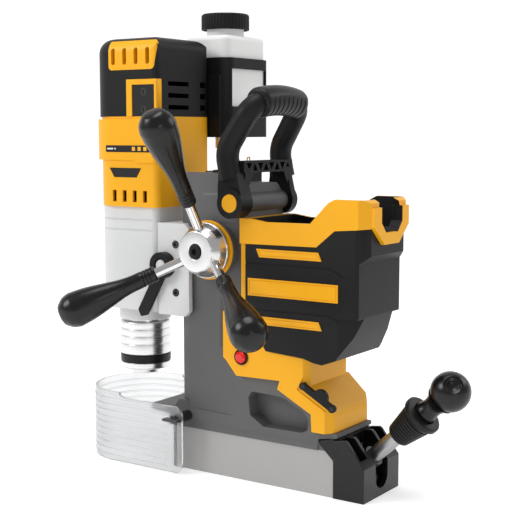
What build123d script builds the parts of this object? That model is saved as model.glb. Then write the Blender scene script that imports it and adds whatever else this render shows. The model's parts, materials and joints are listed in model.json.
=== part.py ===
from build123d import *
import math
import os

os.makedirs("parts", exist_ok=True)

# Magnetic drill press, in millimetres. +X points to the lever end, -X to the spindle,
# -Y to the operator's side and +Z up. The origin is the centre of the magnet's bottom face.

# ---------------------------------------------------------------- driving dimensions
# magnet block
magnet_length = 222.0
magnet_width = 76.0
magnet_height = 50.0
magnet_front_radius = 12.0
pole_count = 8
pole_pitch = 20.0
pole_thickness = 12.0
pole_height = 20.0
pole_half_width = 26.0
# stand casting
column_front = -98.0
column_rear = -29.0
column_top = 344.0
stand_half = magnet_width / 2
lip_front = -138.0
lip_top = 71.0
lip_thickness = 6.0
head_block_rear = -4.0
head_block_top = 333.0
# feed drive
feed_x = -44.3
feed_z = 259.2
feed_module = 1.5
feed_teeth = 24
pinion_half_width = 8.0
feed_shaft_radius = 9.0
feed_bush_radius = 21.0
feed_boss_radius = 31.0
feed_boss_face = -stand_half - 11.0
hub_face = feed_boss_face - 26.3
hub_rear_radius = 31.0
hub_face_radius = 22.0
head_travel = 80.0
spoke_lean = 33.0
spoke_radius = 5.6
spoke_grip_start = 63.0
spoke_grip_end = 179.0
spoke_grip_radius = 20.0
# drill head
spindle_x = -178.0
head_half = 46.0
head_front = -222.0
head_rear = -121.0
case_bottom = 182.0
case_top = 303.0
housing_half = 50.0
housing_front = -220.5
housing_rear = -116.0
housing_joint = 407.0
housing_top = 497.0
housing_wall = 3.0
panel_front_rise = 5.5
panel_side_rise = 1.6
cap_front_rise = 2.2
carriage_rear = -76.0
carriage_half = stand_half + 7.0
carriage_bottom = 180.0
carriage_top = 286.0
# gears between motor and spindle
gear_module = 1.2
motor_teeth = 12
wheel_teeth = 36
lay_teeth = 14
spindle_teeth = 34
gear_width = 12.0
# arbor chuck
arbor_radius = 9.525
arbor_depth = 38.0
chuck_bottom = 99.0
chuck_radius = 30.8
chuck_core_radius = 24.0
spindle_shaft_radius = 10.0
# coolant bottle
bottle_x = -128.5
bottle_length = 66.0
bottle_width = 84.0
bottle_bottom = 388.0
bottle_shoulder = 505.0
bottle_wall = 1.6
bottle_y = housing_half + 8.0 + bottle_width / 2
bottle_cap_radius = 29.5
# power housing and battery bay
bay_half = stand_half + 10.0
bay_wall = 3.5
lower_half = stand_half + 7.0
crown_wall = 5.0
# lever
lever_x = magnet_length / 2 + 17.0
lever_z = 31.8
lever_angle = 42.7
lever_pin_radius = 4.0
lever_rod_radius = 8.5
lever_ball_radius = 21.4
crank_length = 20.0
crank_lead = 19.0
collar_stroke = 6.0
# carry handle
handle_x = -7.7
handle_z = 312.5
handle_leg_y = stand_half + 14.5
handle_near_face = stand_half + 23.5
handle_far_face = stand_half + 12.5
handle_foot_radius = 16.5
handle_cap_radius = 10.0
handle_bar_radius = 12.5
handle_grip_radius = 17.2
handle_grip_half = 38.0
handle_top = 426.0
# chip guard
guard_radius = stand_half + 24.0
guard_wall = 3.0
guard_top = 84.0
guard_rear = -75.0
rib_rear = -97.0
guard_screw_x = -84.0
guard_screw_z = 64.0
guard_travel = 50.0
post_root = stand_half - 8.0

# ---------------------------------------------------------------- clearances
running = 0.05
seat = 0.1
seam = 0.4
slide_gap = 0.6
moving_gap = 0.4


# ---------------------------------------------------------------- building blocks
def block(x, y, z):
    """Box between two corners, each argument a (low, high) pair."""
    centre = [(low + high) / 2 for low, high in (x, y, z)]
    size = [high - low for low, high in (x, y, z)]
    return Pos(*centre) * Box(*size)


def face_of(points, radius=0.0):
    """Closed outline with one corner radius, or one for each corner."""
    if isinstance(radius, (int, float)) and radius == 0:
        return make_face(Polyline(*points, close=True))
    return make_face(FilletPolyline(*points, radius=radius, close=True))


def side_slab(points, y, radius=0.0):
    """Outline in X and Z, between two Y values."""
    return Pos(0, y[1], 0) * (Plane.XZ * extrude(face_of(points, radius), amount=y[1] - y[0]))


def plan_slab(points, z, radius=0.0):
    """Outline in X and Y, between two Z values."""
    return Pos(0, 0, z[0]) * extrude(face_of(points, radius), amount=z[1] - z[0])


def front_slab(points, x, radius=0.0):
    """Outline in Y and Z, between two X values."""
    return Pos(x[0], 0, 0) * (Plane.YZ * extrude(face_of(points, radius), amount=x[1] - x[0]))


def rod_y(x, z, radius, y):
    return Pos(x, (y[0] + y[1]) / 2, z) * Rot(90, 0, 0) * Cylinder(radius, y[1] - y[0])


def rod_x(y, z, radius, x):
    return Pos((x[0] + x[1]) / 2, y, z) * Rot(0, 90, 0) * Cylinder(radius, x[1] - x[0])


def rod_z(x, y, radius, z):
    return Pos(x, y, (z[0] + z[1]) / 2) * Cylinder(radius, z[1] - z[0])


def turned(profile, place=Plane.XY, radius=0.0):
    """Body of revolution about the place's Z axis from (radius, height) points."""
    return place * revolve(Plane.XZ * face_of(profile, radius), axis=Axis.Z)


def ring_z(x, y, inner, outer, z):
    return rod_z(x, y, outer, z) - rod_z(x, y, inner, (z[0] - 1, z[1] + 1))


def mirrored(shape):
    """The same piece on the far side of the centre plane."""
    return mirror(shape, about=Plane.XZ)


def both_sides(shape):
    return Part() + [shape, mirrored(shape)]


# ---------------------------------------------------------------- gears
def involute_gear(module, teeth, width, backlash=0.08, phase=0.0):
    """Spur gear about Z from z = 0, with a tooth centred at the phase angle in degrees."""
    pressure = math.radians(20)
    pitch_r = module * teeth / 2
    base_r = pitch_r * math.cos(pressure)
    tip_r = pitch_r + module
    root_r = pitch_r - 1.25 * module
    half_tooth = (math.pi * module / 2 - backlash) / 2 / pitch_r
    involute_at_pitch = math.tan(pressure) - pressure

    def flank_angle(radius):
        roll = math.acos(min(1.0, base_r / radius))
        return half_tooth + involute_at_pitch - (math.tan(roll) - roll)

    start_r = max(base_r, root_r)
    radii = [start_r + (tip_r - start_r) * step / 4 for step in range(5)]
    points = []
    for tooth in range(teeth):
        middle = math.radians(phase) + 2 * math.pi * tooth / teeth
        rising = [(root_r, -flank_angle(start_r))] + [(r, -flank_angle(r)) for r in radii]
        falling = [(r, -angle) for r, angle in reversed(rising)]
        for r, angle in rising + falling:
            point = (r * math.cos(middle + angle), r * math.sin(middle + angle))
            if not points or math.dist(points[-1], point) > 1e-6:
                points.append(point)
    return extrude(make_face(Polyline(*points, close=True)), amount=width)


def meshing_phase(direction, phase, teeth, other_teeth):
    """Phase of a gear that meshes with one at the given phase; direction points to it."""
    offset = (direction - phase) * teeth / 360
    return direction + 180 - 360 / other_teeth * (0.5 - offset)


# ---------------------------------------------------------------- magnet base
magnet_rear = magnet_length / 2
magnet_front = -magnet_length / 2
carrier_low = 24.0
carrier_high = 44.0
carrier_half_width = 22.0
carrier_front = -70.0
carrier_rear = 84.0
carrier_travel = 2 * crank_length * math.sin(math.radians(crank_lead))
tongue_half = 4.0
tongue_low = 5.5
tongue_high = 19.5
base_screw_x = (-98.0, 84.0)
base_screw_y = stand_half - 5.0
base_screw_radius = 2.5
base_screw_head_radius = 4.2
carrier_leg = 12.0
pole_last_x = carrier_rear - carrier_leg - carrier_travel - 2.0 - pole_thickness / 2
pole_first_x = pole_last_x - (pole_count - 1) * pole_pitch


def base_screw_places():
    return [(x, y) for x in base_screw_x for y in (-base_screw_y, base_screw_y)]


def make_magnet_housing():
    outline = [(magnet_front, 0), (magnet_rear, 0), (magnet_rear, 40), (magnet_rear - 10, magnet_height),
               (magnet_front, magnet_height)]
    body = side_slab(outline, (-magnet_width / 2, magnet_width / 2))
    front_edges = body.edges().filter_by(Axis.Z).sort_by(Axis.X)[:2]
    body = fillet(front_edges, magnet_front_radius)
    body -= block((carrier_front - carrier_travel - 2, carrier_rear + 2),
                  (-carrier_half_width - slide_gap, carrier_half_width + slide_gap),
                  (carrier_low - slide_gap, carrier_high + slide_gap))
    leg_front = carrier_rear - carrier_leg - carrier_travel - 2
    body -= block((leg_front, carrier_rear + 2), (-tongue_half - slide_gap, tongue_half + slide_gap),
                  (tongue_low - 1.5, carrier_low))
    body -= block((carrier_rear, magnet_rear + 1), (-tongue_half - slide_gap, tongue_half + slide_gap),
                  (tongue_low - slide_gap, tongue_high + slide_gap))
    for index in range(pole_count):
        x = pole_first_x + index * pole_pitch
        body -= block((x - pole_thickness / 2 - seat, x + pole_thickness / 2 + seat),
                      (-pole_half_width - seat, pole_half_width + seat), (-1, pole_height + seat))
    for x, y in base_screw_places():
        body -= rod_z(x, y, base_screw_radius, (-1, magnet_height + 1))
        body -= rod_z(x, y, base_screw_head_radius + seat, (-1, 8))
    return body


def make_pole_shoes():
    plates = []
    for index in range(pole_count):
        x = pole_first_x + index * pole_pitch
        plates.append(block((x - pole_thickness / 2, x + pole_thickness / 2),
                            (-pole_half_width, pole_half_width), (0, pole_height)))
    return Part() + plates


def make_magnet_carrier():
    body = block((carrier_front, carrier_rear), (-carrier_half_width, carrier_half_width),
                 (carrier_low, carrier_high))
    body += block((carrier_rear - carrier_leg, carrier_rear), (-tongue_half, tongue_half),
                  (tongue_low, carrier_low))
    pin_x = lever_x + crank_length * math.sin(math.radians(crank_lead))
    body += block((carrier_rear - carrier_leg, pin_x + 6), (-tongue_half, tongue_half),
                  (tongue_low, tongue_high))
    slot = block((pin_x - 3.3, pin_x + 3.3), (-tongue_half - 1, tongue_half + 1), (8, 17))
    return body - slot


def make_base_screws():
    screws = []
    for x, y in base_screw_places():
        screws.append(rod_z(x, y, base_screw_radius, (2, 62))
                      + rod_z(x, y, base_screw_head_radius, (2, 7.5)))
    return screws


# ---------------------------------------------------------------- stand casting
groove_half = 17.0
groove_wide = 23.0
groove_mouth_depth = 8.0
groove_depth = 28.0
groove_bottom = 92.0
rack_half = 9.0
feed_pitch_radius = feed_module * feed_teeth / 2
rack_pitch_x = feed_x - feed_pitch_radius
rack_thickness = 9.0
gib_thickness = 3.0
gib_screw_z = (130.0, 180.0, 230.0, 290.0)


foot_rise = 1.5


def groove_outline(gap):
    """Dovetail section in plan; a positive gap makes the male form smaller."""
    mouth = column_front - 1
    neck = column_front + groove_mouth_depth
    floor = column_front + groove_depth - gap
    return [(mouth, -groove_half + gap), (neck, -groove_half + gap), (floor, -groove_wide + gap),
            (floor, groove_wide - gap), (neck, groove_half - gap), (mouth, groove_half - gap)]


def grip_pocket(y):
    outline = [(0.8, 96), (5.3, 103), (40.7, 102), (50, 100), (73, 89), (80, 80), (78, 69), (71, 65.6),
               (21, 65), (3, 76)]
    return side_slab(outline, y, 3.0)


def column_panel(y):
    """Shallow panel on the column's side."""
    outline = [(-84, 74), (-21.5, 71.5), (-21, 107), (-35, 140), (-35, 222), (-84, 222)]
    return side_slab(outline, y, 3.0)


def make_stand_casting():
    half = stand_half
    foot = [(magnet_front, magnet_height), (magnet_rear - 10.5, magnet_height), (magnet_rear - 19, 58),
            (magnet_rear - 19, 62), (magnet_rear + 4, 65.6), (magnet_rear + 4, 70), (87, 70),
            (86, 89), (43, 111), (46, 120.5), (-11, 119.5), (-25, 136),
            (column_rear, 139), (column_rear, 150), (column_front, 150), (column_front, 80),
            (column_front - 6, lip_top), (lip_front, lip_top), (lip_front, lip_top - lip_thickness),
            (magnet_front, lip_top - lip_thickness - 3)]
    body = side_slab(foot, (-half, half))
    # the column's corners are cut back, which leaves room for the carriage's cheeks
    plan = [(column_front, -half + 11), (-79.5, -half), (-40, -half), (column_rear, -half + 5),
            (column_rear, half - 5), (-40, half), (-79.5, half), (column_front, half - 11)]
    shoulder = lip_top + 10
    column = plan_slab(plan, (shoulder - 1, column_top))
    body -= block((lip_front - 1, carriage_rear + 3), (-half - 5, half + 5), (shoulder, 151)) - column
    body += column
    # skirt that flares out to the magnet
    skirt = [(-half - foot_rise, magnet_height), (half + foot_rise, magnet_height),
             (half + foot_rise, magnet_height + 5), (half - 1, magnet_height + 9),
             (-half + 1, magnet_height + 9), (-half - foot_rise, magnet_height + 5)]
    body += front_slab(skirt, (magnet_front, magnet_rear - 19))
    upper = [(-60, 205), (head_block_rear, 209), (head_block_rear, 300), (-60, 300)]
    body += side_slab(upper, (-half, half))
    arch = [(-half - 1, 290), (half + 1, 290), (half + 1, 321), (half - 11, head_block_top),
            (-half + 11, head_block_top), (-half - 1, 321)]
    body += front_slab(arch, (-60, head_block_rear), [0, 0, 6, 10, 10, 6])
    body += rod_y(feed_x, feed_z, feed_boss_radius, (feed_boss_face, 0))
    body += rod_y(handle_x, handle_z, 11, (-half - 1, half + 1))
    # dovetail groove, open to the front and the top
    body -= plan_slab(groove_outline(0), (groove_bottom, column_top + 1))
    body -= block((column_front, rack_pitch_x + 4.6), (-rack_half - slide_gap, rack_half + slide_gap),
                  (groove_bottom, column_top + 1))
    # pinion cavity and bushing bore
    body -= rod_y(feed_x, feed_z, feed_bush_radius, (feed_boss_face - 1, pinion_half_width + 1.5))
    body -= rod_y(feed_x, feed_z, feed_shaft_radius + 4, (0, 33))
    for side in (-1, 1):
        near, far = sorted((side * (half - 18), side * (half + 5)))
        body -= grip_pocket((near, far))
        body -= column_panel(tuple(sorted((side * (half - 0.8), side * (half + 5)))))
    for x, y in base_screw_places():
        body -= rod_z(x, y, base_screw_radius, (magnet_height - 1, 62))
    for z in gib_screw_z:
        body -= rod_y(gib_screw_x, z, 2.5, (groove_wide - 2, half + 1))
    for side in (-1, 1):
        body -= rod_y(handle_x, handle_z, 4, tuple(sorted((side * 20, side * (half + 7)))))
        socket = tuple(sorted((side * post_root, side * (stand_half + 7))))
        body -= rod_y(guard_screw_x, guard_screw_z, 6, socket)
    return body


gib_screw_x = column_front + groove_depth - gib_thickness - 6


def make_gib_strip():
    """Flat brass strip that takes up the play at the groove's floor."""
    floor = column_front + groove_depth
    strip = block((floor - gib_thickness, floor), (rack_half + 2, groove_wide - 1.5),
                  (groove_bottom + 4, 320))
    return strip


def make_wiper_cap():
    """Top cover over the rear half of the column."""
    body = block((-58, -36), (-24, 24), (column_top, column_top + 3))
    return chamfer(body.edges().group_by(Axis.Z)[-1], 1.0)


# ---------------------------------------------------------------- lever housing
def make_lever_housing():
    front = magnet_rear + 0.3
    rear = magnet_rear + 38
    half = stand_half + foot_rise
    outline = [(front, 0), (rear, 0), (rear, 37), (rear - 2.5, 40), (rear - 20, 63), (rear - 23, 65),
               (magnet_rear - 17, 60.5), (magnet_rear - 17, 58), (front, 41)]
    body = side_slab(outline, (-half, half))
    cheek = [(magnet_rear - 9.6, 50.2), (front, 41), (front, 65), (magnet_rear - 17, 60.5),
             (magnet_rear - 17, 58)]
    body = body + side_slab(cheek, (-half, half))
    body -= block((magnet_rear - 21, magnet_rear + 5), (-half + 1.5, half - 1.5), (40, magnet_height + 0.01))
    # lever well: open to the rear above the sill and open to the top
    body -= block((rear - 33, rear - 6), (-17, 17), (3, 70))
    body -= block((rear - 19, rear + 11), (-13.5, 13.5), (22, 80))
    body -= rod_x(0, 22, 13.5, (rear - 19, rear + 11)) - block((rear - 29, rear + 21), (-20, 20), (0, 8.5))
    body -= block((magnet_rear - 11, rear - 19), (-tongue_half - slide_gap, tongue_half + slide_gap),
                  (tongue_low - slide_gap, tongue_high + slide_gap))
    for side in (-1, 1):
        pocket = tuple(sorted((side * 22, side * (half - 3.5))))
        body -= block((rear - 33, rear - 6), pocket, (6, 70))
        body -= block((rear - 37, rear + 11), pocket, (68, 80))
    body -= rod_y(lever_x, lever_z, lever_pin_radius, (-30, 30))
    return body


def make_lever_pin():
    return rod_y(lever_x, lever_z, lever_pin_radius, (-22, 22))


# ---------------------------------------------------------------- magnet lever
lever_dir = Vector(math.cos(math.radians(lever_angle)), 0, math.sin(math.radians(lever_angle)))
lever_plane = Plane(origin=(lever_x, 0, lever_z), x_dir=(0, 1, 0), z_dir=lever_dir)
collar_start = 54.0
collar_length = 42.0
collar_end = collar_start + collar_length
collar_mouth = collar_stroke + 1.5
neck_radius = 12.6
neck_start = collar_end - 1.2
ball_centre = 135.5


def make_lever_crank():
    body = rod_y(lever_x, lever_z, 10.5, (-12, 12))
    pin_angle = math.radians(-90 + crank_lead)
    pin_x = lever_x + crank_length * math.cos(pin_angle)
    pin_z = lever_z + crank_length * math.sin(pin_angle)
    side = Vector(-math.sin(pin_angle), 0, math.cos(pin_angle)) * 5
    pivot = Vector(lever_x, 0, lever_z)
    tip = Vector(pin_x, 0, pin_z)
    corners = [pivot + side, pivot - side, tip - side, tip + side]
    arm = [(corner.X, corner.Z) for corner in corners]
    for y in ((-12, -4.8), (4.8, 12)):
        body += side_slab(arm, y) + rod_y(pin_x, pin_z, 5, y)
    body += rod_y(pin_x, pin_z, 3, (-12, 12))
    body += lever_plane * Pos(0, 0, 11) * Cylinder(11.5, 10)
    body -= rod_y(lever_x, lever_z, lever_pin_radius + running, (-13, 13))
    return body - lever_plane * Pos(0, 0, 14) * Cylinder(lever_rod_radius, 8)


def make_lever_rod():
    shoulder = neck_start - 0.3
    return turned([(0, 10), (lever_rod_radius, 10), (lever_rod_radius, shoulder), (6, shoulder),
                   (6, ball_centre - 4), (0, ball_centre - 4)], lever_plane)


def make_lever_collar():
    """Ribbed rubber cone that is pulled along the rod to unlock the lever."""
    inner = lever_rod_radius + running
    profile = [(inner, collar_start), (13, collar_start)]
    grooves = 5
    length = 30.0
    for index in range(grooves):
        low = collar_start + 2 + index * length / grooves
        radius = 13 + 5.5 * (index + 1) / grooves
        profile += [(radius, low), (radius, low + 4), (radius - 1.2, low + 4.6),
                    (radius - 1.2, low + length / grooves - 0.6)]
    # the mouth at the outer end slides over the knob's neck
    profile += [(19.5, collar_start + 33), (22, collar_start + 35.5), (22, collar_end - 1), (21, collar_end),
                (neck_radius + moving_gap, collar_end),
                (neck_radius + moving_gap, collar_end - collar_mouth), (inner, collar_end - collar_mouth)]
    return turned(profile, lever_plane)


def make_lever_ball():
    ball = lever_plane * Pos(0, 0, ball_centre) * Sphere(lever_ball_radius)
    ball += turned([(0, neck_start), (neck_radius, neck_start), (neck_radius, ball_centre - 12),
                    (0, ball_centre - 12)], lever_plane)
    ball -= turned([(0, neck_start - 1), (6, neck_start - 1), (6, ball_centre - 4), (0, ball_centre - 4)],
                   lever_plane)
    # stepped dimple on the operator's side of the knob
    centre = lever_plane.origin + lever_dir * ball_centre
    dimple = Plane(origin=centre, z_dir=(0.46, -0.69, 0.55))
    top = lever_ball_radius
    return ball - turned([(0, top - 5), (5, top - 5), (5, top - 3), (9, top - 2.6), (9, top + 2),
                          (0, top + 2)], dimple)


# ---------------------------------------------------------------- feed drive
spoke_angles = (89.1, 209.1, 329.1)
hub_gap = 0.3
ring_thickness = 3.0
hub_rear = feed_boss_face - ring_thickness - hub_gap
hub_plane = Plane(origin=(feed_x, 0, feed_z), x_dir=(1, 0, 0), z_dir=(0, -1, 0))


def spoke_plane(angle):
    lean = math.radians(spoke_lean)
    turn = math.radians(angle)
    direction = (math.cos(lean) * math.cos(turn), -math.sin(lean), math.cos(lean) * math.sin(turn))
    return Plane(origin=(feed_x, feed_boss_face - 2.6, feed_z), z_dir=direction)


def make_feed_bushings():
    near = rod_y(feed_x, feed_z, feed_bush_radius, (feed_boss_face, -pinion_half_width - 1.5))
    far = rod_y(feed_x, feed_z, feed_shaft_radius + 4, (pinion_half_width + 3, 33))
    bore = rod_y(feed_x, feed_z, feed_shaft_radius + running, (feed_boss_face - 1, 34))
    return Part() + [near - bore, far - bore]


def make_feed_ring():
    outer = rod_y(feed_x, feed_z, 33, (feed_boss_face - ring_thickness, feed_boss_face))
    return outer - rod_y(feed_x, feed_z, 24, (feed_boss_face - 10, feed_boss_face + 1))


def make_pinion_shaft():
    gear = involute_gear(feed_module, feed_teeth, 2 * pinion_half_width, phase=180)
    teeth = Pos(feed_x, pinion_half_width, feed_z) * Rot(90, 0, 0) * gear
    return teeth + rod_y(feed_x, feed_z, feed_shaft_radius, (hub_rear - 14, 31))


def make_feed_hub():
    top = -hub_face
    base = -hub_rear
    profile = [(0, base), (hub_rear_radius - 1, base), (hub_rear_radius, base + 1),
               (hub_rear_radius, base + 5), (hub_rear_radius - 3, base + 13),
               (hub_face_radius + 1.5, top - 2),
               (hub_face_radius, top), (0, top)]
    body = turned(profile, hub_plane)
    body -= rod_y(feed_x, feed_z, feed_shaft_radius, (hub_rear - 14, hub_rear + 1))
    body -= rod_y(feed_x, feed_z, 8, (hub_face - 1, hub_face + 6))
    for angle in spoke_angles:
        body -= spoke_plane(angle) * Pos(0, 0, 32) * Cylinder(spoke_radius, 30)
    return body


def make_hub_plug():
    return rod_y(feed_x, feed_z, 8, (hub_face - 0.8, hub_face + 6))


def make_spokes():
    rods = []
    for angle in spoke_angles:
        length = spoke_grip_end - 20 - 17
        rods.append(spoke_plane(angle) * Pos(0, 0, 17 + length / 2) * Cylinder(spoke_radius, length))
    return Part() + rods


def make_spoke_grips():
    """Club-shaped grips: a slim grooved neck that swells to a domed end."""
    start, end, big = spoke_grip_start, spoke_grip_end, spoke_grip_radius
    profile = [(spoke_radius, start), (8.0, start), (8.8, start + 2), (9.0, start + 30),
               (12.0, start + 52), (big - 2.5, start + 80), (big, start + 98), (big - 2, start + 107),
               (big - 8, end - 3), (6, end), (0, end), (0, end - 20), (spoke_radius, end - 20)]
    radii = [0, 0.6, 1, 14, 20, 20, 8, 6, 4, 2, 0, 0, 0]
    grip = revolve(Plane.XZ * face_of(profile, radii), axis=Axis.Z)
    return Part() + [spoke_plane(angle) * grip for angle in spoke_angles]


def make_feed_rack():
    """Rack on the carriage; a gap faces the pinion's centre line at rest."""
    pitch = math.pi * feed_module
    low, high = feed_z - 13, column_top - 2
    tooth = pitch / 2 - 0.12
    slope = math.tan(math.radians(20))
    tip_half = tooth / 2 - feed_module * slope
    root_half = tooth / 2 + 1.25 * feed_module * slope
    root_x = rack_pitch_x - 1.25 * feed_module
    tip_x = rack_pitch_x + feed_module
    points = [(root_x - rack_thickness, low), (root_x, low)]
    first = math.ceil((low - feed_z + root_half) / pitch - 0.5)
    last = math.floor((high - feed_z - root_half) / pitch - 0.5)
    for index in range(first, last + 1):
        middle = feed_z + (index + 0.5) * pitch
        points += [(root_x, middle - root_half), (tip_x, middle - tip_half),
                   (tip_x, middle + tip_half), (root_x, middle + root_half)]
    points += [(root_x, high), (root_x - rack_thickness, high)]
    return side_slab(points, (-pinion_half_width, pinion_half_width))


rack_back = rack_pitch_x - 1.25 * feed_module - rack_thickness

# ---------------------------------------------------------------- slide carriage
carriage_screw_x = -95.0
carriage_screw_z = (206.7, 262.0)


def make_slide_carriage():
    half = carriage_half
    inner = stand_half + moving_gap
    plate = [(head_rear, -half), (carriage_rear, -half), (carriage_rear, -inner),
             (-79.5, -inner), (column_front - slide_gap, -inner + 11 - slide_gap),
             (column_front - slide_gap, inner - 11 + slide_gap), (-79.5, inner),
             (carriage_rear, inner), (carriage_rear, half), (head_rear, half)]
    body = plan_slab(plate, (carriage_bottom, carriage_top))
    corners = body.edges().filter_by(Axis.Y).group_by(Axis.X)[-1]
    body = chamfer(corners, 6)
    floor = column_front + groove_depth - gib_thickness - slide_gap
    neck = column_front + groove_mouth_depth
    male_half = groove_half - moving_gap
    male = [(head_rear + 8, -male_half), (neck, -male_half), (floor, -groove_wide + 3),
            (floor, groove_wide - 3), (neck, male_half), (head_rear + 8, male_half)]
    body += plan_slab(male, (carriage_bottom, carriage_top))
    # the rack is let into the dovetail's back
    body -= block((rack_back, -40), (-pinion_half_width, pinion_half_width), (100, 400))
    for z in carriage_screw_z:
        for side in (-1, 1):
            body -= rod_y(carriage_screw_x, z, 4.5, tuple(sorted((side * (half - 3), side * (half + 1)))))
    return body + selector_stub()


def make_carriage_screws():
    screws = []
    for z in carriage_screw_z:
        for side in (-1, 1):
            inner, outer = side * (carriage_half - 3), side * (carriage_half + 0.6)
            head = rod_y(carriage_screw_x, z, 4.4, tuple(sorted((inner, outer))))
            socket = Pos(carriage_screw_x, side * (carriage_half + 0.6), z) * Rot(90, 0, 0) * extrude(
                RegularPolygon(2.2, 6), amount=2, both=True)
            screws.append(head - socket)
    return screws


# ---------------------------------------------------------------- gear case and gears
lay_x = spindle_x + gear_module * (motor_teeth + wheel_teeth) / 2
wheel_low = 274.0
lay_low = 234.0
case_wall = 3.4
selector_x = -110.0
selector_z = 238.0


def head_outline(half, front, rear, radius, inset=0.0):
    """Plan of the head: two large front corners and two small rear ones."""
    points = [(front + inset, -half + inset), (rear - inset, -half + inset),
              (rear - inset, half - inset), (front + inset, half - inset)]
    front_r = max(radius - inset, 1.0)
    rear_r = max(8.0 - inset, 1.0)
    return points, [front_r, rear_r, rear_r, front_r]


def make_gear_case():
    points, radii = head_outline(head_half, head_front, head_rear, 38.0)
    body = plan_slab(points, (case_bottom, case_top), radii)
    body -= block((head_rear - 0.01, -60), (-60, 60), (carriage_top, case_top + 5))
    # the lower body tapers to the round spindle nose
    body += rod_z(spindle_x, 0, 31.0, (166, case_bottom + 1))
    # grooves round the upper body
    for z in (288.0, 276.0):
        outer, outer_r = head_outline(head_half + 2, head_front - 2, head_rear + 2, 40.0)
        inner, inner_r = head_outline(head_half - 0.8, head_front + 0.8, head_rear + 2, 37.2)
        body -= plan_slab(outer, (z - 1, z + 1), outer_r) - plan_slab(inner, (z - 2, z + 2), inner_r)
    inner, inner_r = head_outline(head_half, head_front, head_rear, 38.0, case_wall)
    body -= plan_slab(inner, (case_bottom + 28, case_top - 6), inner_r)
    # seats for the spindle and layshaft bearings, and the motor shaft's opening
    body -= rod_z(spindle_x, 0, 21, (case_bottom - 8, case_bottom + 6))
    body -= rod_z(spindle_x, 0, 21, (case_bottom + 16, case_bottom + 30))
    body -= rod_z(spindle_x, 0, spindle_shaft_radius + 4, (100, case_bottom + 30))
    body -= rod_z(spindle_x, 0, chuck_core_radius + 2, (160, 170))
    body -= rod_z(spindle_x, 0, 14, (case_top - 7, case_top + 1))
    body -= rod_z(lay_x, 0, 5, (case_bottom + 18, case_bottom + 29))
    return body


def make_spindle_bearings():
    low = ring_z(spindle_x, 0, spindle_shaft_radius + running, 21, (case_bottom - 8, case_bottom + 6))
    high = ring_z(spindle_x, 0, spindle_shaft_radius + running, 21, (case_bottom + 16, case_bottom + 28))
    return [low, high]


def make_spindle():
    """Spindle shaft with its gear."""
    shaft = rod_z(spindle_x, 0, spindle_shaft_radius, (158, lay_low + gear_width + 8))
    phase = meshing_phase(180, 0.0, lay_teeth, spindle_teeth)
    gear = Pos(spindle_x, 0, lay_low) * involute_gear(gear_module, spindle_teeth, gear_width, phase=phase)
    return shaft + gear


def make_layshaft():
    """Layshaft with its large wheel and small pinion."""
    wheel_phase = meshing_phase(0, 0.0, motor_teeth, wheel_teeth)
    wheel = Pos(lay_x, 0, wheel_low) * involute_gear(gear_module, wheel_teeth, gear_width, phase=wheel_phase)
    small = Pos(lay_x, 0, lay_low) * involute_gear(gear_module, lay_teeth, gear_width, phase=0.0)
    shaft = rod_z(lay_x, 0, 5 - running, (case_bottom + 19, wheel_low + gear_width + 4))
    return shaft + wheel + small


def make_motor_pinion():
    teeth = involute_gear(gear_module, motor_teeth, gear_width + 8, phase=0.0)
    gear = Pos(spindle_x, 0, wheel_low + 1) * teeth
    return gear - rod_z(spindle_x, 0, 4, (wheel_low - 5, wheel_low + 40))


def make_rotor():
    shaft = rod_z(spindle_x, 0, 4, (wheel_low + 1, 442))
    stack = rod_z(spindle_x, 0, 22, (330, 380))
    return shaft + stack


def make_motor_fan():
    hub = ring_z(spindle_x, 0, 4, 12, (394, 404))
    plate = ring_z(spindle_x, 0, 11, 36, (394, 396))
    body = hub + plate
    for index in range(11):
        blade = block((14, 35), (-0.9, 0.9), (396, 404))
        body += Pos(spindle_x, 0, 0) * Rot(0, 0, index * 360 / 11) * blade
    return body


def make_stator():
    body = ring_z(spindle_x, 0, 23, stator_radius, (326, 384))
    for index in range(6):
        slot = block((25, stator_radius - 4), (-4, 4), (320, 390))
        body -= Pos(spindle_x, 0, 0) * Rot(0, 0, index * 60) * slot
    return body


def make_motor_bearings():
    low = ring_z(spindle_x, 0, 4 + running, 14, (case_top - 6, case_top + 6))
    high = ring_z(spindle_x, 0, 4 + running, 14, (430, 440))
    return [low, high]


# ---------------------------------------------------------------- motor housing
stator_radius = 38.0
vent_z = (417.5, 431.0, 444.5)
cap_half = housing_half - 0.5
cap_rim_radius = 17.0


def make_motor_housing():
    points, radii = head_outline(housing_half, housing_front, housing_rear, 40.0)
    body = plan_slab(points, (case_top + 0.01, housing_joint), radii) + name_panel()
    inner, inner_r = head_outline(housing_half, housing_front, housing_rear, 40.0, housing_wall)
    body -= plan_slab(inner, (case_top + 6, housing_joint + 1), inner_r)
    body -= rod_z(spindle_x, 0, 14, (case_top - 1, case_top + 8))
    seat_ring = ring_z(spindle_x, 0, stator_radius, stator_radius + 2, (326, 384))
    body += seat_ring & plan_slab(inner, (326, 384), inner_r)
    for side in (-1, 1):
        rib_y = tuple(sorted((side * (stator_radius + 1), side * (housing_half - 1))))
        body += block((spindle_x - 2, spindle_x + 2), rib_y, (326, 384))
    for index in range(4):
        x = -181.0 + index * 15.3
        body -= block((x - 3, x + 3), (-housing_half - 5, -housing_half + housing_wall + 1), (308.5, 322))
    body -= side_slab(label_outline(0), (-housing_half - 3, -housing_half - 0.8))
    return body - side_slab(badge_outline(0), (-housing_half - 1, -housing_half + 0.8))


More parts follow.
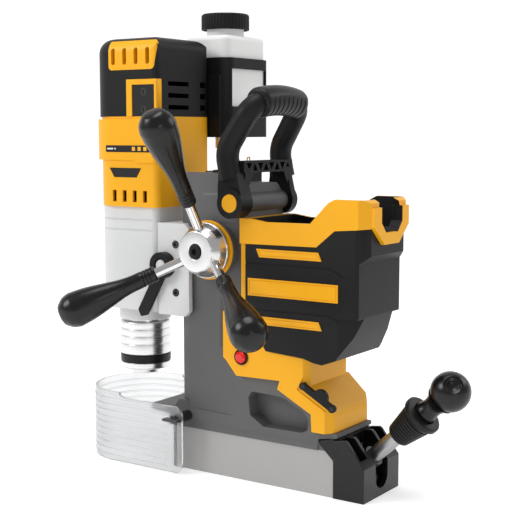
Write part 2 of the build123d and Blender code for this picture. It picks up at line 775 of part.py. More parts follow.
def name_panel():
    """Raised band round the nose, longer on the operator's side."""
    points, radii = head_outline(housing_half + panel_side_rise, housing_front - panel_front_rise,
                                 housing_rear, 40.0 + panel_side_rise)
    band = plan_slab(points, (350, housing_joint), radii)
    near = [(-240, 357), (-150, 357), (-146, 354), (-119, 354), (-114, 360), (-114, 404), (-240, 404)]
    far = [(-240, 357), (-172, 357), (-165, 364), (-165, 404), (-240, 404)]
    reach = housing_half + 10
    return band & (side_slab(near, (-reach, 0)) + side_slab(far, (0, reach)))


def label_outline(shrink):
    return [(-192 + shrink, 366 + shrink), (-122 - shrink, 366 + shrink), (-122 - shrink, 374 - shrink),
            (-192 + shrink, 374 - shrink)]


def badge_outline(shrink):
    return [(-188 + shrink, 348 - shrink), (-140 - shrink, 348 - shrink), (-147 - shrink, 337 + shrink),
            (-181 + shrink, 337 + shrink)]


def make_label_strip():
    return side_slab(label_outline(0.2), (-housing_half - panel_side_rise - 0.2, -housing_half - 0.8))


def make_badge():
    return side_slab(badge_outline(0.2), (-housing_half - 0.4, -housing_half + 0.8))


def cap_block(low):
    """Outer form of the cap from a height up, rounded over at the front and the rear."""
    front = housing_front - cap_front_rise
    points, radii = head_outline(cap_half, front, housing_rear, 38.0)
    square = [radii[0], 0, 0, radii[3]]
    body = plan_slab(points, (low, housing_top), square)
    rim = body.faces().sort_by(Axis.Z)[-1].edges().sort_by(Axis.X)[:-1]
    body = fillet(rim, cap_rim_radius)
    low_z, high_x = low - 1, housing_rear + 1
    rear = [(high_x - 60, low_z), (high_x - 60, housing_top), (housing_rear, housing_top),
            (housing_rear, low_z)]
    keep = side_slab(rear, (-cap_half - 1, cap_half + 1), [0, 0, cap_rim_radius - 2, 0])
    keep += block((front - 1, high_x - 50), (-cap_half - 1, cap_half + 1), (low_z, housing_top + 1))
    return body & keep & plan_slab(points, (low, housing_top + 1), radii)


def make_motor_cap():
    body = cap_block(housing_joint)
    inner, inner_r = head_outline(housing_half, housing_front, housing_rear, 40.0, housing_wall + 1)
    body -= plan_slab(inner, (housing_joint - 1, 464), inner_r)
    body += rod_z(spindle_x, 0, 17, (432, 466))
    body -= rod_z(spindle_x, 0, 14, (430, 440))
    body -= rod_z(spindle_x, 0, 6, (430, 446))
    for z in vent_z:
        body -= block((housing_rear - 6, housing_rear + 1), (-29, 9), (z - 2.6, z + 2.6))
        body -= block((housing_rear - 6, housing_rear + 1), (31, 42), (z - 3.2, z + 3.2))
    # recesses for the vent insert on the near shoulder, the screw plate and its frame
    body -= vent_slab(0.0)
    outside = -housing_half - 10
    body -= side_slab([(-152, housing_joint - 1), (-119, housing_joint - 1), (-119, 443), (-152, 443)],
                      (outside, -housing_half + 2.5))
    frame_y = (outside, -housing_half + 1.5)
    body -= block((-160, -152), frame_y, (housing_joint - 1, 449))
    body -= block((-152.01, -106), frame_y, (443, 449))
    body -= block((-119, -106), frame_y, (housing_joint - 1, 449))
    return body


vent_half = 2.8


def vent_slab(shrink):
    top = housing_top + 5
    outline = [(-188 + shrink, 460 + shrink), (-121 - shrink, 460 + shrink), (-117.5 - shrink, 484),
               (-117.5 - shrink, top), (-188 + shrink, top)]
    return side_slab(outline, (-housing_half - 10, -housing_half + 7 - shrink), [5, 5, 5, 0, 0])


def make_vent_insert():
    body = cap_block(440) & vent_slab(0.1)
    for x in (-181.0, -164.0, -147.0, -130.0):
        slot = [(x - vent_half, 466), (x + vent_half, 466), (x + vent_half, 485), (x - vent_half, 485)]
        body -= side_slab(slot, (-housing_half - 10, -housing_half + 10), vent_half - 0.2)
    return body


def make_cap_frame():
    """Yellow U-shaped frame round the screw plate."""
    outer = block((-160, -116), (-housing_half - 1.2, -housing_half + 1.5), (housing_joint, 449))
    return outer - block((-152, -119), (-60, -40), (housing_joint - 1, 443))


def make_screw_plate():
    body = block((-151.8, -119.2), (-housing_half - 0.2, -housing_half + 2.5), (housing_joint, 442.8))
    for z in (434.8, 414.7):
        body -= rod_y(-135.5, z, 4.4, (-60, -housing_half + 1.5))
    return body


def make_housing_screws():
    screws = []
    for z in (434.8, 414.7):
        head = rod_y(-135.5, z, 4.3, (-housing_half - 0.1, -housing_half + 1.5))
        slot = Pos(-135.5, -housing_half, z)
        head -= slot * Box(5.2, 2, 1.2)
        head -= slot * Box(1.2, 2, 5.2)
        screws.append(head)
    return screws


# ---------------------------------------------------------------- speed selector
def make_speed_selector():
    face = -carriage_half - 0.4
    body = rod_y(selector_x, selector_z, 15, (face - 10, face))
    body -= rod_y(selector_x, selector_z, 8, (face - 11, face - 6))
    body -= rod_y(selector_x, selector_z, 4 + running, (face - 7, face + 1))
    arm = [(selector_x - 10, selector_z - 8), (selector_x + 2, selector_z - 14), (-134, 178), (-142, 176),
           (-146, 184)]
    body += side_slab(arm, (face - 6, face - 1.4), 1.0) - rod_y(selector_x, selector_z, 14, (-80, 0))
    return body


def selector_stub():
    """Headed stub on the carriage that the selector turns on."""
    face = -carriage_half - 0.4
    stub = rod_y(selector_x, selector_z, 4, (face - 7, -carriage_half + 1))
    return stub + rod_y(selector_x, selector_z, 6.5, (face - 9, face - 6.5))


# ---------------------------------------------------------------- arbor chuck
def make_chuck_body():
    low = chuck_bottom
    profile = [(arbor_radius, low), (17.5, low), (17.5, low + 6), (29.6, low + 6), (30.2, low + 7),
               (30.2, low + 23.4), (chuck_core_radius, low + 23.4), (chuck_core_radius, 165.5),
               (0, 165.5), (0, low + arbor_depth), (arbor_radius, low + arbor_depth)]
    body = turned(profile, Plane(origin=(spindle_x, 0, 0)))
    body -= rod_z(spindle_x, 0, spindle_shaft_radius, (158, 170))
    # groove for the dark marker band
    body -= ring_z(spindle_x, 0, 28.5, 33, (low + 14, low + 23.4))
    return body


def make_chuck_band():
    return ring_z(spindle_x, 0, 28.5, 30.4, (chuck_bottom + 14, chuck_bottom + 23.4))


def make_release_sleeve():
    low = chuck_bottom + 23.8
    high = 163.0
    inner = chuck_core_radius + running
    radius = chuck_radius
    profile = [(inner, low), (radius - 1, low), (radius, low + 1)]
    for z in (136.0, 146.0, 155.0):
        profile += [(radius, z - 1), (radius - 0.8, z - 0.6), (radius - 0.8, z + 0.6), (radius, z + 1)]
    profile += [(radius, high - 1), (radius - 1, high), (inner, high)]
    return turned(profile, Plane(origin=(spindle_x, 0, 0)))


# ---------------------------------------------------------------- coolant set
bracket_wall = 3.0
bracket_bottom = 383.0
bracket_top = 478.0
bottle_gap = 0.7


def bottle_block(grow, z):
    half_x = bottle_length / 2 + grow
    half_y = bottle_width / 2 + grow
    points = [(bottle_x - half_x, bottle_y - half_y), (bottle_x + half_x, bottle_y - half_y),
              (bottle_x + half_x, bottle_y + half_y), (bottle_x - half_x, bottle_y + half_y)]
    return plan_slab(points, z, max(10.0 + grow, 2.0))


def make_bottle():
    body = bottle_block(0, (bottle_bottom, bottle_shoulder))
    body = fillet(body.edges().group_by(Axis.Z)[-1], 6.0)
    body += rod_z(bottle_x, bottle_y, 23, (bottle_shoulder - 2, bottle_shoulder + 20))
    hollow = bottle_block(-bottle_wall, (bottle_bottom + bottle_wall, bottle_shoulder - bottle_wall))
    hollow = fillet(hollow.edges().group_by(Axis.Z)[-1], 5.0)
    hollow += rod_z(bottle_x, bottle_y, 23 - bottle_wall, (bottle_shoulder - 4, bottle_shoulder + 21))
    return body - hollow


def make_bottle_cap():
    low, high = bottle_shoulder + 8.5, bottle_shoulder + 28
    body = rod_z(bottle_x, bottle_y, bottle_cap_radius - 0.8, (low, high))
    body = chamfer(body.edges().group_by(Axis.Z)[-1], 1.5)
    body -= rod_z(bottle_x, bottle_y, 23 + running, (low - 1, high - 3))
    ribs = 36
    for index in range(ribs):
        rib = block((bottle_cap_radius - 1.6, bottle_cap_radius), (-1.1, 1.1), (low, high - 3))
        body += Pos(bottle_x, bottle_y, 0) * Rot(0, 0, index * 360 / ribs) * rib
    return body


def make_bottle_bracket():
    outer = bottle_block(bottle_gap + bracket_wall, (bracket_bottom, bracket_top))
    inner = bottle_block(bottle_gap, (bottle_bottom - 0.5, bracket_top + 1))
    body = outer - inner
    y_low, y_high = bottle_y - bottle_width / 2, bottle_y + bottle_width / 2
    x_low, x_high = bottle_x - bottle_length / 2, bottle_x + bottle_length / 2
    body -= block((x_high - 1, x_high + 8), (y_low + 6, y_high - 6), (420, 465))
    body -= block((x_low - 8, x_low + 1), (y_low + 6, y_high - 6), (400, 465))
    body -= block((x_low + 12, x_high - 12), (y_high - 1, y_high + 8), (400, 465))
    web_y = (housing_half, y_low - bottle_gap)
    body += block((x_low + 6, x_high - 6), web_y, (bracket_bottom, housing_joint + 50))
    body -= rod_z(bottle_x + 14, y_low + 12, 5, (bracket_bottom - 1, bottle_bottom))
    return body


def make_coolant_valve():
    x, y = bottle_x + 14, bottle_y - bottle_width / 2 + 12
    top = bottle_bottom - 0.6
    body = rod_z(x, y, 5, (bracket_bottom - 0.5, top)) + rod_z(x, y, 7, (370, bracket_bottom))
    body += rod_z(x, y, 4.2, (360, 371))
    body += rod_x(y, 376, 3.4, (x, x + 14)) + rod_x(y, 376, 5, (x + 9, x + 14))
    return body


def coolant_route():
    x, y = bottle_x + 14, bottle_y - bottle_width / 2 + 12
    return [(x, y, 360), (x, y, 338), (x - 4, y - 2, 316), (x - 16, y - 8, 300),
            (x - 32, head_half + 6, 292)]


def corner_radii(points):
    """Largest tangent arc at each corner of a run of points."""
    vectors = [Vector(*point) for point in points]
    radii = []
    for before, corner, after in zip(vectors, vectors[1:], vectors[2:]):
        run_in, run_out = corner - before, after - corner
        turn = math.radians(run_in.get_angle(run_out))
        radii.append(0.45 * min(run_in.length, run_out.length) / math.tan(turn / 2))
    return radii


def make_coolant_hose():
    points = coolant_route()
    radii = corner_radii(points)
    print("coolant hose bend radii:", [round(value, 1) for value in radii])
    path = FilletPolyline(*points, radius=radii)
    section = Plane(origin=points[0], z_dir=path % 0) * Circle(4)
    return sweep(section, path=path)


def make_hose_fitting():
    """Elbow that takes the hose into the gear case."""
    end, before = Vector(*coolant_route()[-1]), Vector(*coolant_route()[-2])
    direction = (end - before).normalized()
    body = Plane(origin=end, z_dir=direction) * Pos(0, 0, 4) * Cylinder(4.6, 8)
    corner = end + direction * 10
    body += rod_y(corner.X, corner.Z, 6, (head_half, head_half + 9))
    return body - block((-300, 0), (-60, head_half), (200, 400))


# ---------------------------------------------------------------- power housing and battery bay
def make_power_housing():
    """Yellow shell behind the column: front spine, neck and foot."""
    outline = [(column_rear + seam, 191), (column_rear + seam, 139.3), (-24.8, 136.5), (-10.8, 120.1),
               (46.6, 121.1), (43.6, 111.4), (86.5, 89.4), (87.5, 70.4), (magnet_rear, 70.4),
            (magnet_rear, 86), (magnet_rear - 3, 95),
               (82, 119), (82, 145), (78, 149), (30, 152), (3.6, 190), (3.6, 268),
               (head_block_rear + seam, 268), (head_block_rear + seam, 208)]
    body = side_slab(outline, (-lower_half, lower_half))
    # the foot's rear corners and the neck's corners are bevelled
    half = lower_half
    for side in (1, -1):
        foot_bevel = [(magnet_rear - 11, -half - 5), (magnet_rear + 2, -half - 5),
                      (magnet_rear + 2, -half + 12)]
        neck_bevel = [(72, -half - 5), (84, -half - 5), (84, -half + 9)]
        body -= plan_slab([(x, y * side) for x, y in foot_bevel], (60, 125))
        body -= plan_slab([(x, y * side) for x, y in neck_bevel], (119.5, 150))
    hollow = [(-8, 124), (74, 124), (74, 145), (28, 147.5), (8, 170), (-20, 170), (-20, 144)]
    body -= side_slab(hollow, (-lower_half + 3.5, lower_half - 3.5))
    body -= side_slab([(52, 124.1), (78, 124.1), (100, 92), (100, 76), (92, 76), (92, 94), (52, 114)],
                      (-lower_half + 10, lower_half - 10))
    # recesses for the strap bar and the stop button's bezel
    body -= strap_place(0) * Pos(2, 3, 0) * Box(56, 24, 2 * strap_recess)
    body -= rod_y(stop_x, stop_z, 7.2, (-half - 5, -half + 15))
    return body


stop_x = -3.4
stop_z = 142.0
strap_x = 96.0
strap_z = 109.5
strap_tilt = 29.0
strap_recess = 1.5
strap_thickness = 5.0


def strap_place(depth):
    """Place on the near side of the foot, depth millimetres outside its face."""
    return Pos(strap_x, -lower_half - depth, strap_z) * Rot(0, strap_tilt, 0) * Rot(90, 0, 0)


def make_strap_bar():
    """Bar on the operator's side that takes the safety strap's hook."""
    thick = strap_thickness
    bar = Box(41, 7, thick)
    for x in (-20.5, 20.5):
        bar += Pos(x, 0, 0) * Cylinder(4.2, thick)
    bar += Pos(3, 2, 0) * Cylinder(9, thick) & Pos(3, 7, 0) * Box(20, 14, thick)
    for x in (-20.5, 20.5):
        bar -= Pos(x, 0, 1.6) * Cylinder(2.4, 3)
    return strap_place(thick / 2 - strap_recess + seat) * bar


def make_strap_screws():
    screws = []
    for x in (-20.5, 20.5):
        socket = Pos(x, 0, 2.4) * extrude(RegularPolygon(1.2, 6), amount=-1.4)
        head = Pos(x, 0, 1.2) * Cylinder(2.3, 2.2) - socket
        screws.append(strap_place(strap_thickness / 2 - strap_recess + seat) * head)
    return screws


sleeve_outline = [(4, 191), (30.5, 152.6), (78.5, 149.6), (92, 146), (102, 145), (118, 151), (134, 175),
                  (141, 191), (144, 198), (144, 254), (153, 262), (153, 290), (116, 287), (94, 269),
                  (4, 268.2)]


def make_battery_sleeve():
    """Black tub round the battery bay."""
    half = bay_half
    inner_half = bay_half - bay_wall
    body = side_slab(sleeve_outline, (-half, half))
    # the rear corners are bevelled, and the lower ones more
    for side in (1, -1):
        rear_bevel = [(139, -half - 2), (156, -half - 2), (156, -half + 12), (152.9, -half + 12)]
        low_bevel = [(118, -half - 2), (150, -half - 2), (150, -half + 22)]
        body -= plan_slab([(x, y * side) for x, y in rear_bevel], (140, 300))
        body -= plan_slab([(x, y * side) for x, y in low_bevel], (130, 196))
    inner = [(8, 192), (32, 157), (79, 154), (98, 152), (104, 160), (114, 198), (137, 198), (139, 255),
             (139, 300), (8, 300)]
    body -= side_slab(inner, (-inner_half, inner_half))
    skin = (half - 0.8, half + 1)
    for side in (1, -1):
        outside = tuple(sorted((side * skin[0], side * skin[1])))
        # long creases across each side
        for z in (248.0, 198.0):
            body -= side_slab([(2, z - 1), (112, z - 1), (126, z - 8), (128, z - 6.5), (112, z + 1),
                               (2, z + 1)], outside)
        # seats for the strips and the plate
        for outline in (strip_outline(259.5, 19, 101), strip_outline(186.0, 26, 101.7), plate_outline(0)):
            body -= side_slab(outline, outside)
        # guide rails for the battery pack
        for x in (rail_x - rail_width / 2, rail_x + rail_groove + rail_width / 2):
            body += block((x - rail_width / 2, x + rail_width / 2),
                          tuple(sorted((side * rail_half, side * (inner_half + 0.5)))), (200, 262))
    return body + bay_liner() - front_slab(notch_outline, (130, 165))


def bay_liner():
    """Black lining inside the yellow crown."""
    rim = [(8.2, 258), (147.8, 258), (147.8, 311), (113, 311), (91, 287.5), (8.2, 287.5)]
    hollow = [(8.2 + liner_wall, 250), (147.8 - liner_wall, 250), (147.8 - liner_wall, 330),
              (8.2 + liner_wall, 330)]
    outer = bay_half - crown_wall - seat
    body = side_slab(rim, (-outer, outer))
    body += block((8.2, 140), (-bay_half + bay_wall - 0.5, bay_half - bay_wall + 0.5), (258, 267))
    return body - side_slab(hollow, (-outer + liner_wall, outer - liner_wall))


notch_outline = [(-13, 285), (13, 285), (23, 296), (23, 312), (18, 330), (-18, 330), (-23, 312),
                 (-23, 296)]
liner_wall = 3.0
rail_x = 40.0
rail_width = 4.0
rail_groove = 6.0
rail_half = bay_half - 10.0


def strip_outline(z, low, high, shrink=0.0):
    return [(low + 4 + shrink, z - 4.5 + shrink), (high - shrink, z - 4.5 + shrink),
            (high - 4 - shrink, z + 4.5 - shrink), (low + shrink, z + 4.5 - shrink)]


def plate_outline(shrink):
    return [(7.8 + shrink, 212.5 + shrink), (121 - shrink, 212.5 + shrink),
            (121 - shrink, 231.5 - shrink), (7.8 + shrink, 231.5 - shrink)]


def grooved(outline, inner, core, rise):
    """Flat strip on the bay's side with a groove that follows its edge."""
    face = -bay_half - rise
    strip = side_slab(outline, (face, -bay_half + 0.8))
    strip -= side_slab(inner, (face - 1, face + 0.6))
    return strip + side_slab(core, (face + 0.1, face + 1))


def make_trim_strips():
    strips = []
    for place in ((259.5, 19, 101), (186.0, 26, 101.7)):
        outlines = [strip_outline(*place, shrink) for shrink in (0.0, 1.5, 2.3)]
        strip = grooved(*outlines, 1.2)
        strips += [strip, mirrored(strip)]
    return strips


def make_side_plates():
    plate = grooved(plate_outline(0), plate_outline(1.6), plate_outline(2.3), 1.0)
    return [plate, mirrored(plate)]


def make_battery_crown():
    """Yellow rim of the battery bay, low at the front and high at the rear."""
    outline = [(head_block_rear + seam, 268.4), (94, 269.4), (116, 287.4), (153, 290.4), (156, 296),
               (154, 317), (148, 320), (116, 320), (108, 316), (86, 293.5), (30, 293), (10, 296),
               (head_block_rear + seam, 296)]
    body = side_slab(outline, (-bay_half, bay_half))
    bay = [(8, 260), (148, 260), (148, 330), (8, 330)]
    body -= side_slab(bay, (-bay_half + crown_wall, bay_half - crown_wall))
    for side in (1, -1):
        bevel = [(142, -bay_half - 2), (160, -bay_half - 2), (160, -bay_half + 16)]
        body -= plan_slab([(x, y * side) for x, y in bevel], (250, 330))
    # octagonal notch through the rear wall
    return body - front_slab(notch_outline, (140, 165)) + crown_rim()


def crown_rim():
    """Thick yellow lip round the rear notch."""
    outer = front_slab([(-16, 273), (16, 273), (38, 292), (38, 312), (-38, 312), (-38, 292)], (153.2, 158))
    return outer - front_slab(notch_outline, (150, 160))


def make_contact_block():
    body = block((8, 20), (-20, 20), (204, 226))
    for index in range(4):
        y = -13.5 + index * 9
        body += block((20, 34), (y - 0.7, y + 0.7), (210, 221))
    return body


def make_control_board():
    board = block((0, 66), (-36, 36), (128, 130))
    for x, y, size in ((10, -20, 6), (30, 0, 8), (52, 18, 5), (50, -18, 6)):
        board += block((x - size, x + size), (y - size, y + size), (130, 136))
    return board


def make_stop_button():
    """Faceted button on a stem that the bezel guides."""
    face = -lower_half - 5.0
    body = Pos(stop_x, face + 2.5, stop_z) * Rot(90, 0, 0) * extrude(
        RegularPolygon(6.6, 8), amount=2.5, both=True)
    body = chamfer(body.edges().group_by(Axis.Y)[0], 1.2)
    return body + rod_y(stop_x, stop_z, 3, (face + 5, -lower_half + 8))


def make_button_bezel():
    body = rod_y(stop_x, stop_z, 8.8, (-lower_half - 2, -lower_half))
    body += rod_y(stop_x, stop_z, 7.2, (-lower_half, -lower_half + 4))
    body -= rod_y(stop_x, stop_z, 7.0, (-lower_half - 3, -lower_half + 3))
    return body - rod_y(stop_x, stop_z, 3 + running, (-lower_half, -lower_half + 5))


# ---------------------------------------------------------------- carry handle
def handle_points():
    """Leg ends, elbows, top corners and the middle of the arched grip."""
    low = (-11, -handle_leg_y, 338)
    elbow = (-18, -handle_leg_y, 369)
    corner = (13, -handle_leg_y + 4, handle_top - 8)
    middle = (17, 0, handle_top)
    near = [low, elbow, corner]
    return near + [middle] + [(x, -y, z) for x, y, z in reversed(near)]


def handle_bar(radius):
    path = FilletPolyline(*handle_points(), radius=[30, 21, 160, 21, 30])
    return sweep(Plane(origin=path @ 0, z_dir=path % 0) * Circle(radius), path=path)


def make_handle_frame():
    body = handle_bar(handle_bar_radius)
    inner = stand_half + 2.2
    foot_r = handle_foot_radius
    leg = [(handle_x - foot_r, handle_z), (handle_x - foot_r, handle_z + 18), (-23, 338), (-23, 345),
           (1, 345), (handle_x + foot_r - 3, handle_z + 12), (handle_x + foot_r, handle_z)]
    for side, face in ((-1, handle_near_face), (1, handle_far_face)):
        body += rod_y(handle_x, handle_z, foot_r, tuple(sorted((side * face, side * inner))))
        body += side_slab(leg, tuple(sorted((side * (face - 1.5), side * inner))))
        # gusset between the beam and the foot, round the stand's arch
        gusset = [(side * (inner + 6), 350), (side * (inner - 10), 350), (side * (inner - 10), 345),
                  (side * (inner + 2), 325), (side * (inner + 6), 318)]
        body += front_slab(gusset, (-14, 3))
    beam = block((-14, 3), (-inner - 8, inner + 8), (345, 358))
    for index in range(8):
        y = -38.5 + index * 11
        up = 1 if index % 2 else -1
        tri = [(y - 5, 351.5 - up * 4.2), (y + 5, 351.5 - up * 4.2), (y, 351.5 + up * 4.2)]
        beam -= front_slab(tri, (-3, 4))
    body += beam
    cap_seat = (-handle_near_face - 20, -handle_near_face + 1)
    body -= rod_y(handle_x, handle_z, handle_cap_radius + seat, cap_seat)
    for side, face in ((-1, handle_near_face), (1, handle_far_face)):
        body -= rod_y(handle_x, handle_z, 4, tuple(sorted((side * 30, side * (face - 5)))))
    return body


def make_handle_grip():
    points = handle_points()[2:5]
    middle = Vector(*points[1])
    ends = [middle + (Vector(*end) - middle).normalized() * handle_grip_half for end in points[::2]]
    path = FilletPolyline(ends[0], middle, ends[1], radius=160)
    start = Plane(origin=path @ 0, z_dir=path % 0)
    body = sweep(start * Circle(handle_grip_radius), path=path) - handle_bar(handle_bar_radius + seat)
    for index in range(7):
        y = -27 + index * 9
        z = handle_top - 6 * abs(y) / handle_leg_y - handle_grip_radius
        body -= Pos(middle.X - 2, y, z) * Rot(0, 90, 0) * Cylinder(2.2, 2 * handle_grip_radius)
    return body


def make_handle_cap():
    cap = rod_y(handle_x, handle_z, handle_cap_radius, (-handle_near_face - 0.6, -handle_near_face + 1))
    return chamfer(cap.edges().group_by(Axis.Y)[0], 0.5)


def make_handle_bolts():
    near = rod_y(handle_x, handle_z, 4, (-handle_near_face + 6, -22))
    far = rod_y(handle_x, handle_z, 4, (22, handle_far_face - 6))
    return [near, far]


# ---------------------------------------------------------------- chip guard
def guard_outline(radius, rear):
    """U in plan round the spindle axis."""
    left = Line((rear, -radius), (spindle_x, -radius))
    nose = ThreePointArc((spindle_x, -radius), (spindle_x - radius, 0), (spindle_x, radius))
    right = Line((spindle_x, radius), (rear, radius))
    back = Line((rear, radius), (rear, -radius))
    return make_face([left, nose, right, back])


def make_chip_guard():
    low = 0.6
    height = guard_top - low
    body = Pos(0, 0, low) * extrude(guard_outline(guard_radius, guard_rear), amount=height)
    hollow = extrude(guard_outline(guard_radius - guard_wall, guard_rear + 5), amount=height + 2)
    body -= Pos(0, 0, low - 1) * hollow
    # the rear half is a little lower, with rounded ends
    across = (-guard_radius - 10, guard_radius + 10)
    body -= side_slab([(-168, guard_top - 3), (-160, 78), (guard_rear + 1, 78), (guard_rear + 1, 90),
                       (-168, 90)], across)
    body -= side_slab([(guard_rear - 8, 79), (guard_rear + 1, 70), (guard_rear + 1, 79)], across)
    body -= side_slab([(guard_rear - 8, 0), (guard_rear + 1, 9), (guard_rear + 1, 0)], across)
    # stiffening ribs all round the nose
    for index in range(10):
        z = 6.0 + index * 7.6
        outer = Pos(0, 0, z) * extrude(guard_outline(guard_radius + 0.7, rib_rear), amount=1.6)
        inner = Pos(0, 0, z - 1) * extrude(guard_outline(guard_radius - 1, rib_rear + 10), amount=4)
        body += outer - inner
    for side in (-1, 1):
        y = tuple(sorted((side * (guard_radius - 7), side * (guard_radius + 4))))
        body -= block((guard_screw_x - 2.3, guard_screw_x + 2.3), y,
                      (guard_screw_z - guard_travel - 5, guard_screw_z + 2.6))
    return body


def make_guard_posts():
    """Posts that carry the guard, with a step the guard's slot runs on."""
    post = rod_y(guard_screw_x, guard_screw_z, 6, (-guard_radius + guard_wall + 0.5, -post_root))
    post -= rod_y(guard_screw_x, guard_screw_z, 2, (-guard_radius - 8, -guard_radius + 17))
    return both_sides(post)


def thumb_screw():
    face = -guard_radius - 0.8
    body = rod_y(guard_screw_x, guard_screw_z, 4.6, (face - 4, face))
    body += rod_y(guard_screw_x, guard_screw_z, 2 - running, (face, -guard_radius + 12))
    wings = Pos(guard_screw_x, face - 6, guard_screw_z) * Box(22, 8, 3)
    wings = fillet(wings.edges().filter_by(Axis.Y), 1.2)
    return body + wings


def group(*lists):
    """Separate solids of one node."""
    return Part() + [solid for pieces in lists for solid in pieces]


makers = {
    "magnet_housing": make_magnet_housing,
    "pole_shoes": make_pole_shoes,
    "magnet_carrier": make_magnet_carrier,
    "stand_casting": make_stand_casting,
    "stand_screws": lambda: group(make_base_screws(), make_strap_screws(), make_handle_bolts()),
    "gib_strip": make_gib_strip,
    "wiper_cap": make_wiper_cap,
    "lever_housing": make_lever_housing,
    "lever_pin": make_lever_pin,
    "lever_crank": make_lever_crank,
    "lever_rod": make_lever_rod,
    "lever_collar": make_lever_collar,
    "lever_ball": make_lever_ball,
    "feed_bushings": make_feed_bushings,
    "feed_ring": make_feed_ring,
    "pinion_shaft": make_pinion_shaft,
    "feed_hub": make_feed_hub,
    "hub_plug": make_hub_plug,
    "spokes": make_spokes,
    "spoke_grips": make_spoke_grips,
    "feed_rack": make_feed_rack,
    "slide_carriage": make_slide_carriage,
    "head_screws": lambda: group(make_carriage_screws(), make_housing_screws()),
    "gear_case": make_gear_case,
    "bearings": lambda: group(make_spindle_bearings(), make_motor_bearings()),
    "spindle": make_spindle,
    "layshaft": make_layshaft,
    "motor_pinion": make_motor_pinion,
    "rotor": make_rotor,
    "motor_fan": make_motor_fan,
    "stator": make_stator,
    "motor_housing": make_motor_housing,
    "head_plates": lambda: group([make_label_strip(), make_badge(), make_screw_plate()]),
    "motor_cap": make_motor_cap,
    "cap_trim": lambda: group([make_vent_insert(), make_cap_frame()]),
    "speed_selector": make_speed_selector,
    "chuck_body": make_chuck_body,
    "chuck_band": make_chuck_band,
    "release_sleeve": make_release_sleeve,
    "bottle": make_bottle,
    "bottle_cap": make_bottle_cap,
    "bottle_bracket": make_bottle_bracket,
    "coolant_fittings": lambda: group([make_coolant_valve(), make_hose_fitting()]),
    "coolant_hose": make_coolant_hose,
    "power_housing": make_power_housing,
    "strap_bar": make_strap_bar,
    "battery_sleeve": make_battery_sleeve,
    "side_trim": lambda: group(make_trim_strips(), make_side_plates()),
    "battery_crown": make_battery_crown,
    "contact_block": make_contact_block,
    "control_board": make_control_board,
    "stop_button": make_stop_button,
    "button_bezel": make_button_bezel,
    "handle_frame": make_handle_frame,
    "handle_grip": make_handle_grip,
    "handle_cap": make_handle_cap,
    "chip_guard": make_chip_guard,
    "guard_posts": make_guard_posts,
    "thumb_screw_near": thumb_screw,
    "thumb_screw_far": lambda: mirrored(thumb_screw()),
}

for name, make in makers.items():
    export_step(make(), f"parts/{name}.step")
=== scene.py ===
import bpy, bmesh, json, math
from mathutils import Matrix, Vector


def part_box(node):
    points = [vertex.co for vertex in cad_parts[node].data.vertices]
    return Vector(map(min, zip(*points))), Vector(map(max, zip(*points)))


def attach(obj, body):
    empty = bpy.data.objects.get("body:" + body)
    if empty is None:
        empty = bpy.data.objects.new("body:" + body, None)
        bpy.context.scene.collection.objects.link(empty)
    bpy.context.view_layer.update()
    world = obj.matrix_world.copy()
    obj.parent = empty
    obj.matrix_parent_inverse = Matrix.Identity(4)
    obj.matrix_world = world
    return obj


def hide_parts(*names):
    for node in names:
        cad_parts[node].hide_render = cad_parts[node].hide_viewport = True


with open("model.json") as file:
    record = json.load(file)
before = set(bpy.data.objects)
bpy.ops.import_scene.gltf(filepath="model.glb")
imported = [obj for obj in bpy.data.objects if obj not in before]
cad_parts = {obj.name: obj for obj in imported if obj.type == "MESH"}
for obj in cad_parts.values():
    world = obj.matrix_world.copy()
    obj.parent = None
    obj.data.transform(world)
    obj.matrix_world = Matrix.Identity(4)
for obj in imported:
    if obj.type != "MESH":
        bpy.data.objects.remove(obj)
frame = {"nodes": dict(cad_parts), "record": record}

nodes = frame["nodes"]
record = frame["record"]
slotOf = {part["node"]: part["material_slot"] for part in record["subparts"]}
bodyOf = {node: body for body, names in record["behaviour"]["bodies"].items() for node in names}
joints = {joint["name"]: joint for joint in record["behaviour"]["joints"]}
mm = 0.001
sharpAngle = 34  # edges turned more than this stay sharp, in degrees
weldDistance = 2e-6  # vertices this close in a CAD copy are one, in metres
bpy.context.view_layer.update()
print("frame loaded", len(nodes), "nodes")


# materials, one look for every slot of the record
def link(mat, source, output, target, socket):
    mat.node_tree.links.new(source.outputs[output], target.inputs[socket])


def addNode(mat, kind, **values):
    node = mat.node_tree.nodes.new(kind)
    for key, value in values.items():
        if hasattr(node, key):
            setattr(node, key, value)
        else:
            node.inputs[key].default_value = value
    return node


